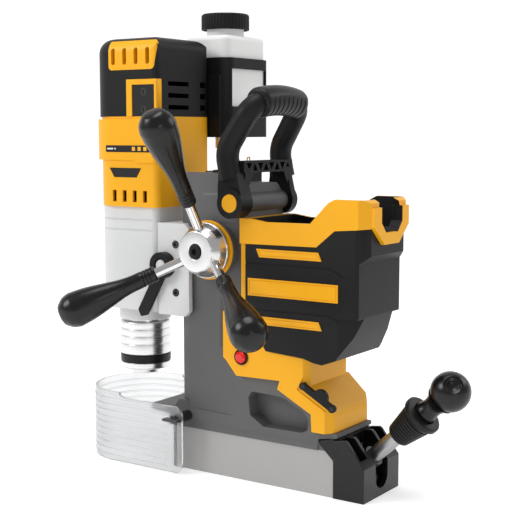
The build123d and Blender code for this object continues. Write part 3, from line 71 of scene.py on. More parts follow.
# mottle: how far the colour drifts; grain: size of the surface texture in 1/m; depth: its height in m
looks = {
    "magnet_grey": {"color": (0.37, 0.365, 0.36), "rough": 0.42, "mottle": 0.035, "grain": 1500,
        "depth": 4e-05},
    "pole_steel": {"color": (0.42, 0.42, 0.43), "rough": 0.38, "metal": 1, "mottle": 0.08,
        "streak": (900, 12, 900)},
    "casting_grey": {"color": (0.105, 0.105, 0.106), "rough": 0.5, "mottle": 0.06, "grain": 1100,
        "depth": 0.00011, "shine": 0.35},
    "yellow_plastic": {"color": (0.83, 0.385, 0.004), "rough": 0.42, "mottle": 0.02, "grain": 2100,
        "depth": 3e-05, "shine": 0.3},
    "black_plastic": {"color": (0.0075, 0.0075, 0.008), "rough": 0.46, "mottle": 0.1, "grain": 1700,
        "depth": 6e-05, "shine": 0.2},
    "black_gloss": {"color": (0.004, 0.004, 0.0042), "rough": 0.27, "mottle": 0.08, "grain": 1500,
        "depth": 6e-06, "shine": 0.36},
    "black_rubber": {"color": (0.006, 0.006, 0.0062), "rough": 0.4, "mottle": 0.1, "grain": 2600,
        "depth": 4e-05, "shine": 0.26},
    "case_silver": {"color": (0.61, 0.615, 0.62), "rough": 0.4, "mottle": 0.02, "grain": 1300,
        "depth": 3e-05},
    "bright_steel": {"color": (0.66, 0.66, 0.665), "rough": 0.24, "metal": 1, "mottle": 0.05,
        "grain": 700, "depth": 2e-05},
    "polished_chrome": {"color": (0.74, 0.745, 0.75), "rough": 0.09, "metal": 1, "mottle": 0.03,
        "grain": 260, "depth": 1e-05},
    "dark_steel": {"color": (0.06, 0.06, 0.063), "rough": 0.35, "metal": 0.8, "mottle": 0.1,
        "grain": 900, "depth": 4e-05},
    "brass_strip": {"color": (0.62, 0.42, 0.16), "rough": 0.3, "metal": 1, "mottle": 0.08,
        "grain": 800, "depth": 3e-05},
    "clear_plastic": {"color": (0.86, 0.87, 0.88), "rough": 0.22, "mottle": 0, "clear": 0.9,
        "grain": 300, "depth": 4e-06},
    "bottle_white": {"color": (0.92, 0.92, 0.915), "rough": 0.45, "mottle": 0.015, "clear": 0.18,
        "grain": 420, "depth": 6e-05},
    "red_button": {"color": (0.72, 0.008, 0.008), "rough": 0.13, "mottle": 0.05, "grain": 500,
        "depth": 1e-05},
    "label_dark": {"color": (0.011, 0.011, 0.012), "rough": 0.36, "shine": 0.3, "mottle": 0.06,
        "grain": 900, "depth": 1e-05},
    "winding": {"color": (0.42, 0.13, 0.045), "rough": 0.35, "metal": 0.9, "mottle": 0.2, "grain": 900,
        "depth": 0.0002},
    "board_green": {"color": (0.012, 0.11, 0.035), "rough": 0.3, "mottle": 0.12, "grain": 700,
        "depth": 2e-05},
    "hose_clear": {"color": (0.6, 0.61, 0.6), "rough": 0.25, "mottle": 0.03, "clear": 0.5,
        "grain": 300, "depth": 2e-05},
}


def makeLook(name, color, rough, metal=0.0, mottle=0.05, grain=900, depth=3e-5, clear=0.0, shine=0.5,
             streak=None):
    mat = bpy.data.materials.new(name)
    mat.use_nodes = True
    shader = mat.node_tree.nodes["Principled BSDF"]
    shader.inputs["Metallic"].default_value = metal
    shader.inputs["Transmission Weight"].default_value = clear
    shader.inputs["Specular IOR Level"].default_value = shine
    place = addNode(mat, "ShaderNodeTexCoord")
    if streak:
        stretch = addNode(mat, "ShaderNodeMapping")
        stretch.inputs["Scale"].default_value = streak
        link(mat, place, "Object", stretch, "Vector")
        fine = addNode(mat, "ShaderNodeTexNoise", Scale=1.0, Detail=3.0)
        link(mat, stretch, "Vector", fine, "Vector")
    else:
        fine = addNode(mat, "ShaderNodeTexNoise", Scale=float(grain), Detail=2.0)
        link(mat, place, "Object", fine, "Vector")
    gloss = addNode(mat, "ShaderNodeMapRange")
    gloss.inputs["To Min"].default_value = rough * 0.82
    gloss.inputs["To Max"].default_value = min(1.0, rough * 1.2)
    link(mat, fine, "Fac", gloss, "Value")
    link(mat, gloss, "Result", shader, "Roughness")
    bump = addNode(mat, "ShaderNodeBump", Strength=1.0, Distance=depth)
    link(mat, fine, "Fac", bump, "Height")
    link(mat, bump, "Normal", shader, "Normal")
    if mottle:
        broad = addNode(mat, "ShaderNodeTexNoise", Scale=28.0, Detail=3.0)
        link(mat, place, "Object", broad, "Vector")
        blend = addNode(mat, "ShaderNodeMix", data_type="RGBA")
        # sockets 6 and 7 are the mix node's two colours, and 2 is the colour it gives
        for socket, factor in ((6, 1 - mottle), (7, 1 + mottle)):
            blend.inputs[socket].default_value = (*[min(1.0, part * factor) for part in color], 1)
        mat.node_tree.links.new(broad.outputs["Fac"], blend.inputs[0])
        mat.node_tree.links.new(blend.outputs[2], shader.inputs["Base Color"])
    else:
        shader.inputs["Base Color"].default_value = (*color, 1)
    return mat


materials = {name: makeLook(name, **look) for name, look in looks.items()}
materials["satinRod"] = makeLook("satinRod", (0.42, 0.42, 0.43), 0.3, metal=1, mottle=0.06, grain=500,
                                 depth=2e-5)


# turned metal: fine rings round an axis, given by its place and the turn that stands it on Z
def turnedLook(name, color, rough, origin, turn, rings):
    mat = bpy.data.materials.new(name)
    mat.use_nodes = True
    shader = mat.node_tree.nodes["Principled BSDF"]
    shader.inputs["Base Color"].default_value = (*color, 1)
    shader.inputs["Metallic"].default_value = 1.0
    place = addNode(mat, "ShaderNodeTexCoord")
    shift = addNode(mat, "ShaderNodeVectorMath", operation="SUBTRACT")
    shift.inputs[1].default_value = origin
    link(mat, place, "Object", shift, 0)
    stand = addNode(mat, "ShaderNodeVectorRotate", rotation_type="EULER_XYZ")
    stand.inputs["Rotation"].default_value = turn
    link(mat, shift, "Vector", stand, "Vector")
    flat = addNode(mat, "ShaderNodeVectorMath", operation="MULTIPLY")
    flat.inputs[1].default_value = (1, 1, 0)
    link(mat, stand, "Vector", flat, 0)
    radius = addNode(mat, "ShaderNodeVectorMath", operation="LENGTH")
    link(mat, flat, "Vector", radius, 0)
    apart = addNode(mat, "ShaderNodeSeparateXYZ")
    link(mat, stand, "Vector", apart, "Vector")
    joined = addNode(mat, "ShaderNodeCombineXYZ")
    link(mat, radius, "Value", joined, "X")
    link(mat, apart, "Z", joined, "Y")
    noise = addNode(mat, "ShaderNodeTexNoise", Scale=float(rings), Detail=2.0)
    link(mat, joined, "Vector", noise, "Vector")
    gloss = addNode(mat, "ShaderNodeMapRange")
    gloss.inputs["To Min"].default_value = rough * 0.6
    gloss.inputs["To Max"].default_value = rough * 1.5
    link(mat, noise, "Fac", gloss, "Value")
    link(mat, gloss, "Result", shader, "Roughness")
    bump = addNode(mat, "ShaderNodeBump", Strength=1.0, Distance=1.2e-5)
    link(mat, noise, "Fac", bump, "Height")
    link(mat, bump, "Normal", shader, "Normal")
    return mat


# helpers for new pieces
def finishPiece(piece, mat, body=None, replaces=(), sharp=sharpAngle):
    mesh = piece.data
    mesh.materials.clear()
    mesh.materials.append(mat)
    mesh.shade_smooth()
    mesh.set_sharp_from_angle(angle=math.radians(sharp))
    if body:
        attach(piece, body)
    if replaces:
        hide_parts(*replaces)
    return piece


def pieceFrom(bm, name):
    bmesh.ops.recalc_face_normals(bm, faces=bm.faces)
    mesh = bpy.data.meshes.new(name)
    bm.to_mesh(mesh)
    bm.free()
    piece = bpy.data.objects.new(name, mesh)
    bpy.context.scene.collection.objects.link(piece)
    return piece


def placeOn(origin, direction):
    # a frame whose Z runs along the direction
    turn = Vector(direction).normalized().to_track_quat("Z", "Y").to_matrix().to_4x4()
    return Matrix.Translation(Vector(origin)) @ turn


# rounds the corners of a profile: every point is (radius, height, rounding), all in mm
def roundedProfile(points, steps=5):
    out = []
    for index, (r, s, soft) in enumerate(points):
        here = Vector((r, s))
        if soft <= 0 or index in (0, len(points) - 1):
            out.append(here)
            continue
        before = Vector(points[index - 1][:2]) - here
        after = Vector(points[index + 1][:2]) - here
        reach = min(soft, before.length * 0.48, after.length * 0.48)
        a, b = here + before.normalized() * reach, here + after.normalized() * reach
        for step in range(steps + 1):
            t = step / steps
            out.append(a * (1 - t) ** 2 + here * 2 * t * (1 - t) + b * t ** 2)
    return out


def spinInto(bm, profile, place, steps=96, closed=False):
    verts = [bm.verts.new((p[0] * mm, 0, p[1] * mm)) for p in profile]
    edges = [bm.edges.new(pair) for pair in zip(verts, verts[1:])]
    if closed:
        edges.append(bm.edges.new((verts[-1], verts[0])))
    bmesh.ops.spin(bm, geom=verts + edges, cent=(0, 0, 0), axis=(0, 0, 1), angle=math.tau, steps=steps,
                   use_merge=True)
    # everything joined to the profile is this turned shape
    linked, todo = set(verts), list(verts)
    while todo:
        vert = todo.pop()
        for edge in vert.link_edges:
            other = edge.other_vert(vert)
            if other not in linked:
                linked.add(other)
                todo.append(other)
    linked = list(linked)
    bmesh.ops.transform(bm, matrix=place, verts=linked)
    bmesh.ops.remove_doubles(bm, verts=linked, dist=1e-6)


def spunPiece(name, profiles, steps=96):
    # profiles: a list of (points, place, closed)
    bm = bmesh.new()
    for points, place, closed in profiles:
        spinInto(bm, points, place, steps, closed)
    return pieceFrom(bm, name)


def boxInto(bm, low, high):
    made = bmesh.ops.create_cube(bm, size=1)
    low, high = Vector(low) * mm, Vector(high) * mm
    size = high - low
    bmesh.ops.scale(bm, vec=size, verts=made["verts"])
    bmesh.ops.translate(bm, vec=(low + high) / 2, verts=made["verts"])
    return made["verts"]


def smoothCurve(points, steps=6):
    # a smooth line through points of (height, radius)
    out = []
    last = len(points) - 1
    for i in range(last):
        p0, p1 = points[max(i - 1, 0)], points[i]
        p2, p3 = points[i + 1], points[min(i + 2, last)]
        for step in range(steps):
            t = step / steps
            out.append(tuple(0.5 * (2 * b + (c - a) * t + (2 * a - 5 * b + 4 * c - d) * t ** 2
                                    + (3 * b - a - 3 * c + d) * t ** 3)
                             for a, b, c, d in zip(p0, p1, p2, p3)))
    return out + [tuple(points[last])]


# softened copies of the moulded, cast and milled nodes
edgeRounding = {  # width of the rounded edge in mm
    "magnet_housing": 0.7, "stand_casting": 1.1, "power_housing": 1.0, "battery_sleeve": 0.9,
    "battery_crown": 0.9, "motor_housing": 0.9, "motor_cap": 0.9, "cap_trim": 0.5, "gear_case": 0.8,
    "slide_carriage": 0.6, "lever_housing": 0.8, "handle_frame": 0.8, "side_trim": 0.4,
    "strap_bar": 0.5, "bottle_bracket": 0.7, "bottle": 1.2, "chip_guard": 0.35, "handle_cap": 0.4,
    "button_bezel": 0.4, "wiper_cap": 0.5, "guard_posts": 0.5, "speed_selector": 0.5, "feed_ring": 0.4,
    "lever_crank": 0.5, "thumb_screw_near": 0.3, "thumb_screw_far": 0.3, "head_plates": 0.15,
    "contact_block": 0.4, "stand_screws": 0.2, "head_screws": 0.2, "coolant_fittings": 0.3,
}


def softCopy(node, width):
    bm = bmesh.new()
    bm.from_mesh(nodes[node].data)
    bmesh.ops.remove_doubles(bm, verts=bm.verts, dist=weldDistance)
    bmesh.ops.dissolve_limit(bm, angle_limit=math.radians(0.4), verts=bm.verts, edges=bm.edges)
    piece = pieceFrom(bm, node + "_soft")
    finishPiece(piece, materials[slotOf[node]], bodyOf[node], [node])
    rounding = piece.modifiers.new("edges", "BEVEL")
    rounding.width = width * mm
    rounding.segments = 2
    rounding.limit_method = "ANGLE"
    rounding.angle_limit = math.radians(sharpAngle)
    rounding.use_clamp_overlap = True
    rounding.harden_normals = True
    rounding.miter_outer = "MITER_ARC"
    # flat faces keep flat shading beside their rounded edges
    even = piece.modifiers.new("normals", "WEIGHTED_NORMAL")
    even.weight = 80
    even.keep_sharp = True
    return piece


softened = {node: softCopy(node, width) for node, width in edgeRounding.items()}


# the crown is yellow outside and on its rim, and black inside the battery bay
def lineCrown():
    piece = softened["battery_crown"]
    low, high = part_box("battery_crown")
    piece.data.materials.append(materials["black_plastic"])
    wall, lip = 5.4 * mm, 3 * mm
    for face in piece.data.polygons:
        centre, normal = face.center, face.normal
        inside = centre.x < high.x - wall and abs(centre.y) < high.y - wall + 1 * mm
        inward = normal.x * (centre.x - (low.x + high.x) / 2) < 0 or normal.y * centre.y < 0
        notch = centre.x > high.x - 17 * mm and abs(centre.y) < 24 * mm and normal.x < 0.5
        if (inside and inward or notch and centre.x < high.x - lip) and abs(normal.z) < 0.9:
            face.material_index = 1


lineCrown()


# the yellow frame of the screw plate goes on round the cap's rear corner
wrap = {"front": -119.5, "inner": -42.5, "low": 407.4, "high": 449.0, "thick": 1.2}


def makeFrameWrap():
    bm = bmesh.new()
    bm.from_mesh(nodes["motor_cap"].data)
    bmesh.ops.remove_doubles(bm, verts=bm.verts, dist=weldDistance)
    cuts = (((wrap["front"], 0, 0), (1, 0, 0)), ((0, wrap["inner"], 0), (0, -1, 0)),
            ((0, 0, wrap["low"]), (0, 0, 1)), ((0, 0, wrap["high"]), (0, 0, -1)))
    for place, keep in cuts:
        bmesh.ops.bisect_plane(bm, geom=bm.verts[:] + bm.edges[:] + bm.faces[:], plane_co=Vector(place) * mm,
                               plane_no=keep, clear_inner=True, dist=1e-7)
    level = [face for face in bm.faces if abs(face.normal.z) > 0.5]
    bmesh.ops.delete(bm, geom=level, context="FACES")
    mesh = bpy.data.meshes.new("frameWrap")
    bm.to_mesh(mesh)
    bm.free()
    piece = bpy.data.objects.new("frameWrap", mesh)
    bpy.context.scene.collection.objects.link(piece)
    finishPiece(piece, materials["yellow_plastic"], "head")
    shell = piece.modifiers.new("shell", "SOLIDIFY")
    shell.thickness = wrap["thick"] * mm
    shell.offset = 1


makeFrameWrap()
print("softened copies done")


# feed hub, spokes and grips
feedPlace = Vector(joints["feed_turn"]["pos_m"])
hubBox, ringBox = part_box("feed_hub"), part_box("feed_ring")
hubRear, hubFace = hubBox[1].y / mm, hubBox[0].y / mm
spokeRoot = Vector((feedPlace.x, ringBox[1].y - 2.6 * mm, feedPlace.z))
hub = {"rearRadius": 31, "faceRadius": 22, "plugRadius": 8, "spokeRadius": 5.6, "lean": 33,
       "angles": (89.1, 209.1, 329.1)}


def spokeDirection(angle):
    lean, turn = math.radians(hub["lean"]), math.radians(angle)
    return Vector((math.cos(lean) * math.cos(turn), -math.sin(lean), math.cos(lean) * math.sin(turn)))


def makeHub():
    deep = hubRear - hubFace
    place = placeOn((feedPlace.x, hubRear * mm, feedPlace.z), (0, -1, 0))
    rear, face = hub["rearRadius"], hub["faceRadius"]
    points = [(0, 0, 0), (rear - 1, 0, 0.5), (rear, 1, 0.5), (rear, 4.6, 0.6), (rear - 0.8, 5, 0.3),
              (rear - 1.2, 6, 0.3), (rear - 3.4, 13, 1.5), (face + 1.6, deep - 2.2, 0.8), (face, deep, 0.5),
              (hub["plugRadius"] + 1.2, deep, 0.3), (hub["plugRadius"] + 0.1, deep - 1, 0.2),
              (hub["plugRadius"] + 0.1, deep - 6, 0), (0, deep - 6, 0)]
    piece = spunPiece("hub", [(roundedProfile(points), place, False)], 128)
    look = turnedLook("hubSteel", (0.72, 0.72, 0.725), 0.22, (feedPlace.x, 0, feedPlace.z),
                      (math.radians(90), 0, 0), 1500)
    finishPiece(piece, look, "feed", ["feed_hub"])
    plug = spunPiece("hubPlug", [(roundedProfile([
        (0, deep - 6, 0), (8, deep - 6, 0), (8, deep + 0.1, 0.4), (6.6, deep + 0.7, 0.4),
        (3.4, deep + 0.7, 0.2),
        (2.9, deep - 2.2, 0.1), (0, deep - 2.2, 0)]), place, False)], 48)
    finishPiece(plug, materials["black_plastic"], "feed", ["hub_plug"])


def makeSpokes():
    rods, collars = [], []
    radius = hub["spokeRadius"]
    for angle in hub["angles"]:
        place = placeOn(spokeRoot, spokeDirection(angle))
        rod = [(0, 16), (radius, 16), (radius, 140), (0, 140)]
        rods.append((rod, place, False))
        # small raised seat where the rod enters the hub
        seat = [(radius + 0.02, 20, 0), (radius + 3.2, 20, 0.2), (radius + 3.0, 29, 0.8),
                (radius + 1.0, 30.2, 0.5), (radius + 0.02, 30.2, 0)]
        collars.append((roundedProfile(seat), place, True))
    finishPiece(spunPiece("spokeRods", rods, 48), materials["polished_chrome"], "feed",
                ["spokes"])
    finishPiece(spunPiece("spokeSeats", collars, 48), materials["bright_steel"], "feed")


spokeGrip = {"start": 63, "end": 179, "neck": 9.0, "bulb": 20.0, "grooves": (69.5, 73.5, 77.5),
             "groove": 0.7}


def makeSpokeGrips():
    g = spokeGrip
    start, end, bulb, neck = g["start"], g["end"], g["bulb"], g["neck"]
    body = smoothCurve([(start + 20, neck), (start + 32, neck + 0.4), (start + 44, 11.0),
                        (start + 57, 13.8), (start + 70, 16.6), (start + 83, 18.8), (start + 94, bulb - 0.2),
                        (start + 99, bulb), (start + 106, bulb - 1.9), (end - 5.2, bulb - 5.2),
                        (end - 2.6, bulb - 7.6), (end - 1.6, bulb - 8.8)], 6)
    line = [(5.7, start + 1.5), (6.6, start), (8.0, start), (8.5, start + 0.5), (neck - 0.1, start + 2)]
    bottom = neck - g["groove"]
    for mark in g["grooves"]:
        line += [(neck, mark - 0.9), (neck - 0.25, mark - 0.55), (bottom, mark - 0.25),
                 (bottom, mark + 0.25), (neck - 0.25, mark + 0.55), (neck, mark + 0.9)]
    line += [(r, s) for s, r in body]
    # shallow stepped dish in the domed end
    line += [(bulb - 9.4, end - 1.5), (bulb - 10, end - 1.1), (bulb - 11.6, end - 0.5), (5, end - 0.05),
             (0, end)]
    line.append((0, start + 1.5))
    profiles = [(line, placeOn(spokeRoot, spokeDirection(angle)), True) for angle in hub["angles"]]
    finishPiece(spunPiece("spokeGrips", profiles, 72), materials["black_gloss"], "feed",
                ["spoke_grips"], 50)


makeHub()
makeSpokes()
makeSpokeGrips()
print("feed drive done")


# lever rod, collar and knob
leverPlace = Vector(joints["lever_turn"]["pos_m"])
leverDirection = Vector(joints["collar_pull"]["axis"])
lever = {"rod": 8.5, "collarStart": 54, "collarEnd": 96, "neck": 12.6, "ballCentre": 135.5, "ball": 21.4,
         "dimple": (0.46, -0.69, 0.55)}


def makeLever():
    along = placeOn(leverPlace, leverDirection)
    rod = lever["rod"]
    rodPiece = spunPiece("leverShaft", [(roundedProfile([
        (0, 10, 0), (rod - 0.8, 10, 0), (rod, 10.8, 0.3), (rod, 90, 0), (6, 90, 0), (6, 128, 0),
        (0, 128, 0)]),
        along, False)], 64)
    finishPiece(rodPiece, materials["satinRod"], "lever", ["lever_rod"])
    low, high = lever["collarStart"], lever["collarEnd"]
    points = [(rod + 0.06, low, 0), (12.2, low, 0.4), (13.2, low + 1, 0.5)]
    rings = 8
    for index in range(rings):
        s = low + 2 + index * 29 / rings
        r = 13.4 + 5.2 * (index + 0.6) / rings
        points += [(r, s, 0.3), (r + 0.3, s + 2.6, 0.3), (r - 0.7, s + 2.9, 0.2), (r - 0.7, s + 3.4, 0.2)]
    points += [(19.4, low + 32.6, 0.4), (19.6, low + 34, 0.6), (22, low + 35.8, 0.8), (22, high - 1.2, 0.8),
               (20.6, high, 0.5), (lever["neck"] + 0.5, high, 0.3), (lever["neck"] + 0.5, high - 7.6, 0.2),
               (rod + 0.06, high - 7.6, 0)]
    finishPiece(spunPiece("leverSleeve", [(roundedProfile(points, 3), along, True)], 96),
                materials["black_rubber"], "collar_body", ["lever_collar"], 40)
    centre, ball = lever["ballCentre"], lever["ball"]
    neck = [(6.02, 94.9), (11.4, 94.9)]
    neck += [(r, s) for s, r in smoothCurve([(95.2, lever["neck"] - 0.4), (99, 12.2), (103.5, 11.2),
                                             (108, 10.9),
                                             (112, 11.6), (116, 13.4), (120, 16.4)], 5)]
    neck += [(6.02, 122)]
    centrePoint = leverPlace + leverDirection * centre * mm
    tip = math.asin(9.9 / ball)
    outline = [(0, -ball)]
    outline += [(ball * math.sin(a), ball * math.cos(a)) for a in
                [math.pi - (math.pi - tip) * step / 60 for step in range(1, 61)]]
    rim = ball * math.cos(tip)
    outline += [(9.5, rim - 0.1), (9.2, rim - 0.6), (9.0, rim - 1.6), (8.5, rim - 2.0), (6.0, rim - 2.2),
                (5.5, rim - 2.6), (5.3, rim - 3.6), (4.8, rim - 4.0), (0, rim - 4.1)]
    ballPlace = placeOn(centrePoint, lever["dimple"])
    knob = spunPiece("leverKnob", [(outline, ballPlace, False), (neck, along, True)], 96)
    finishPiece(knob, materials["black_gloss"], "lever", ["lever_ball"], 45)


makeLever()
print("lever done")


# chuck
chuck = {"radius": 30.8, "gap": 0.8}


def makeChuck():
    low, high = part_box("chuck_body")
    x = (low.x + high.x) / 2
    base = low.z / mm
    place = Matrix.Translation((x, 0, 0))
    look = turnedLook("chuckSteel", (0.74, 0.74, 0.745), 0.25, (x, 0, 0), (0, 0, 0), 1900)
    top = high.z / mm
    body = [(9.55, base, 0), (16.8, base, 0.3), (17.5, base + 0.7, 0.3), (17.5, base + 6, 0.2),
            (24, base + 6, 1),
            (29, base + 6.2, 0.8), (30.2, base + 7.4, 0.5), (30.2, base + 13.4, 0.2), (28.6, base + 14, 0.1),
            (28.6, base + 23.4, 0), (24, base + 23.4, 0), (24, top, 0), (10.05, top, 0),
            (10.05, base + 37.9, 0),
            (9.55, base + 37.9, 0)]
    finishPiece(spunPiece("chuckBody", [(roundedProfile(body), place, True)], 96), look, "spindle_body",
                ["chuck_body"])
    band = [(28.7, base + 14.1, 0), (30.2, base + 14.1, 0.3), (30.4, base + 15, 0.3),
            (30.4, base + 22.4, 0.3),
            (30.2, base + 23.3, 0.3), (28.7, base + 23.3, 0)]
    finishPiece(spunPiece("chuckBand", [(roundedProfile(band), place, True)], 96), materials["black_rubber"],
                "spindle_body", ["chuck_band"])
    sleeveLow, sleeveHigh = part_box("release_sleeve")
    start, end, radius = sleeveLow.z / mm, sleeveHigh.z / mm, chuck["radius"]
    points = [(24.06, start, 0), (radius - 1, start, 0.3), (radius, start + 1, 0.3)]
    for z in (start + 13.2, start + 22.9, start + 31.8):
        points += [(radius, z - 0.9, 0.3), (radius - chuck["gap"], z - 0.6, 0.1),
                   (radius - chuck["gap"], z + 0.6, 0.1), (radius, z + 0.9, 0.3)]
    points += [(radius, end - 1.2, 0.4), (radius - 1.2, end, 0.4), (24.06, end, 0)]
    sleeve = spunPiece("chuckSleeve", [(roundedProfile(points, 3), place, True)], 96)
    finishPiece(sleeve, look, "sleeve_body", ["release_sleeve"])


makeChuck()
print("chuck done")


# bottle cap with grip ribs
capShape = {"ribs": 44, "ribDepth": 0.7}


def makeBottleCap():
    low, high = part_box("bottle_cap")
    centre = Vector(((low.x + high.x) / 2, (low.y + high.y) / 2, low.z))
    radius, tall = (high.x - low.x) / 2, high.z - low.z
    inside = radius - 2.2 * mm
    steps = capShape["ribs"] * 8
    rings = [(inside, 0.0, 0), (radius - 0.5 * mm, 0.0, 0), (radius, 0.6 * mm, 1), (radius, tall * 0.45, 1),
             (radius, tall - 3.2 * mm, 1), (radius - 0.2 * mm, tall - 2.2 * mm, 0.3),
             (radius - 0.8 * mm, tall - 0.9 * mm, 0), (radius - 2.0 * mm, tall - 0.15 * mm, 0),
             (radius - 4.5 * mm, tall, 0), (radius - 6 * mm, tall - 0.4 * mm, 0),
             (4 * mm, tall - 0.4 * mm, 0)]
    bm = bmesh.new()
    loops = []
    for r, z, ribbed in rings:
        loop = []
        for step in range(steps):
            angle = math.tau * step / steps
            wave = 0.5 - 0.5 * math.cos(step / 8 * math.tau)
            own = r - capShape["ribDepth"] * mm * ribbed * max(0.0, wave * 1.6 - 0.6)
            loop.append(bm.verts.new(centre + Vector((own * math.cos(angle), own * math.sin(angle), z))))
        loops.append(loop)
    for a, b in zip(loops, loops[1:]):
        for i in range(steps):
            j = (i + 1) % steps
            bm.faces.new((a[i], a[j], b[j], b[i]))
    bm.faces.new(loops[-1])
    # skirt inside, closed under the top
    ceiling = []
    for step in range(steps):
        angle = math.tau * step / steps
        ceiling.append(bm.verts.new(centre + Vector((inside * math.cos(angle), inside * math.sin(angle),
                                                     tall - 2.5 * mm))))
    for i in range(steps):
        j = (i + 1) % steps
        bm.faces.new((ceiling[i], ceiling[j], loops[0][j], loops[0][i]))
    bm.faces.new(list(reversed(ceiling)))
    finishPiece(pieceFrom(bm, "bottleCapRibbed"), materials["black_plastic"], "cap_body",
                ["bottle_cap"], 40)


makeBottleCap()


# carry grip: smooth upper skin, finger ribs below it
grip = {"radius": 17.0, "grooves": 8, "pitch": 8.4, "grooveDepth": 1.7, "grooveWidth": 1.5, "step": 0.55,
        "stations": 150, "around": 72}


def makeGrip():
    low, high = [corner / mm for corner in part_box("handle_grip")]
    radius = grip["radius"]
    half = (high.y - low.y) / 2 - 1.2
    top = Vector((high.x - 17.2, 0, high.z - 17.2))
    drop = top.z - (low.z + 17.0)
    back = top.x - (low.x + 17.2)
    bm = bmesh.new()
    loops = []
    for i in range(grip["stations"] + 1):
        t = -1 + 2 * i / grip["stations"]
        y = t * half
        centre = Vector((top.x - back * t * t, y, top.z - drop * t * t))
        tangent = Vector((-2 * back * t / half, 1, -2 * drop * t / half)).normalized()
        side = Vector((1, 0, 0)) - tangent * tangent.x
        side.normalize()
        up = side.cross(tangent).normalized()
        edge = min(1.0, (half - abs(y)) / 5.0)
        taper = 13.2 + (radius - 13.2) * math.sqrt(max(0.0, 1 - (1 - edge) ** 2))
        near = min(abs(y - (k - (grip["grooves"] - 1) / 2) * grip["pitch"]) for k in range(grip["grooves"]))
        cut = max(0.0, 1 - (near / grip["grooveWidth"]) ** 4) if near < grip["grooveWidth"] else 0.0
        loop = []
        for j in range(grip["around"]):
            angle = math.tau * j / grip["around"]
            # 0 points to +X, a quarter turn points up
            height = math.sin(angle - math.radians(14))
            lower = min(1.0, max(0.0, (-height + 0.06) / 0.10))
            own = taper - grip["step"] * lower * min(1.0, edge * 2)
            below = min(1.0, max(0.0, (-height - 0.02) / 0.14))
            own -= grip["grooveDepth"] * cut * below * min(1.0, edge * 2)
            out = side * own * math.cos(angle) + up * own * math.sin(angle)
            loop.append(bm.verts.new((centre + out) * mm))
        loops.append(loop)
    count = grip["around"]
    for a, b in zip(loops, loops[1:]):
        for j in range(count):
            k = (j + 1) % count
            bm.faces.new((a[j], a[k], b[k], b[j]))
    bm.faces.new(loops[0])
    bm.faces.new(list(reversed(loops[-1])))
    finishPiece(pieceFrom(bm, "gripSkin"), materials["black_rubber"], "stand",
                ["handle_grip"], 42)


makeGrip()
print("carry grip done")


# red stop button with flat facets
button = {"facets": 8, "dome": 0.62, "around": 32}


def makeStopButton():
    low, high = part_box("stop_button")
    radius = (high.x - low.x) / 2
    x, z = (low.x + high.x) / 2, (low.z + high.z) / 2
    around = button["around"]
    bm = bmesh.new()
    loops = []
    rings = ((radius, high.y), (radius, low.y + 2.2 * mm), (radius * 0.94, low.y + 1.3 * mm),
             (radius * button["dome"], low.y + 0.25 * mm), (radius * 0.2, low.y))
    for r, y in rings:
        loop = []
        for step in range(around):
            angle = math.tau * step / around
            own = r
            if y < low.y + 2 * mm:
                # straight sides between the facets' corners
                part = math.tau / button["facets"]
                own = r * math.cos(part / 2) / math.cos((angle % part) - part / 2)
            loop.append(bm.verts.new((x + own * math.cos(angle), y, z + own * math.sin(angle))))
        loops.append(loop)
    for a, b in zip(loops, loops[1:]):
        for i in range(around):
            j = (i + 1) % around
            bm.faces.new((a[i], a[j], b[j], b[i]))
    bm.faces.new(loops[0])
    bm.faces.new(list(reversed(loops[-1])))
    finishPiece(pieceFrom(bm, "buttonLens"), materials["red_button"], "button_body",
                ["stop_button"], 12)


makeStopButton()


# small details: plain label marks and a wire clip on the handle
printWhite = makeLook("printWhite", (0.72, 0.72, 0.71), 0.4, mottle=0.04)
printAmber = makeLook("printAmber", (0.83, 0.42, 0.012), 0.4, mottle=0.04)
marks = {"bars": ((-189.5, -180.5), (-178.5, -176.5)), "barLow": 369.2, "barHigh": 370.9,
         "blocks": 3, "blockStart": -152, "blockStep": 8.5, "blockWide": 4.5, "blockLow": 367.8,
         "blockHigh": 372.3, "proud": 0.08, "sunk": 0.3}


def makeMarks():
    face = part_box("head_plates")[0].y / mm
    front, back = face - marks["proud"], face + marks["sunk"]
    bm = bmesh.new()
    for a, b in marks["bars"]:
        boxInto(bm, (a, front, marks["barLow"]), (b, back, marks["barHigh"]))
    finishPiece(pieceFrom(bm, "stripMarks"), printWhite, "head")
    bm = bmesh.new()
    for k in range(marks["blocks"]):
        left = marks["blockStart"] + k * marks["blockStep"]
        boxInto(bm, (left, front, marks["blockLow"]), (left + marks["blockWide"], back, marks["blockHigh"]))
    finishPiece(pieceFrom(bm, "stripBlocks"), printAmber, "head")


makeMarks()


clip = {"place": (0.5, -36.5, 359.6), "ring": 2.6, "wire": 0.7}


def makeClip():
    bm = bmesh.new()
    centre = Vector(clip["place"]) * mm
    loops = []
    for i in range(40):
        a = math.tau * i / 40
        middle = centre + Vector((0, math.cos(a), math.sin(a))) * clip["ring"] * mm
        out = (middle - centre).normalized()
        loops.append([bm.verts.new(middle + (out * math.cos(b) + Vector((1, 0, 0)) * math.sin(b))
                                   * clip["wire"] * mm) for b in [math.tau * j / 10 for j in range(10)]])
    for a, b in zip(loops, loops[1:] + loops[:1]):
        for j in range(10):
            k = (j + 1) % 10
            bm.faces.new((a[j], a[k], b[k], b[j]))
    finishPiece(pieceFrom(bm, "handleClip"), materials["brass_strip"], "stand")


makeClip()


# whatever is left of the CAD gets its slot's material
for name, node in nodes.items():
    node.data.materials.clear()
    node.data.materials.append(materials[slotOf[name]])
    node.data.shade_smooth()
    node.data.set_sharp_from_angle(angle=math.radians(sharpAngle))
print("materials done")


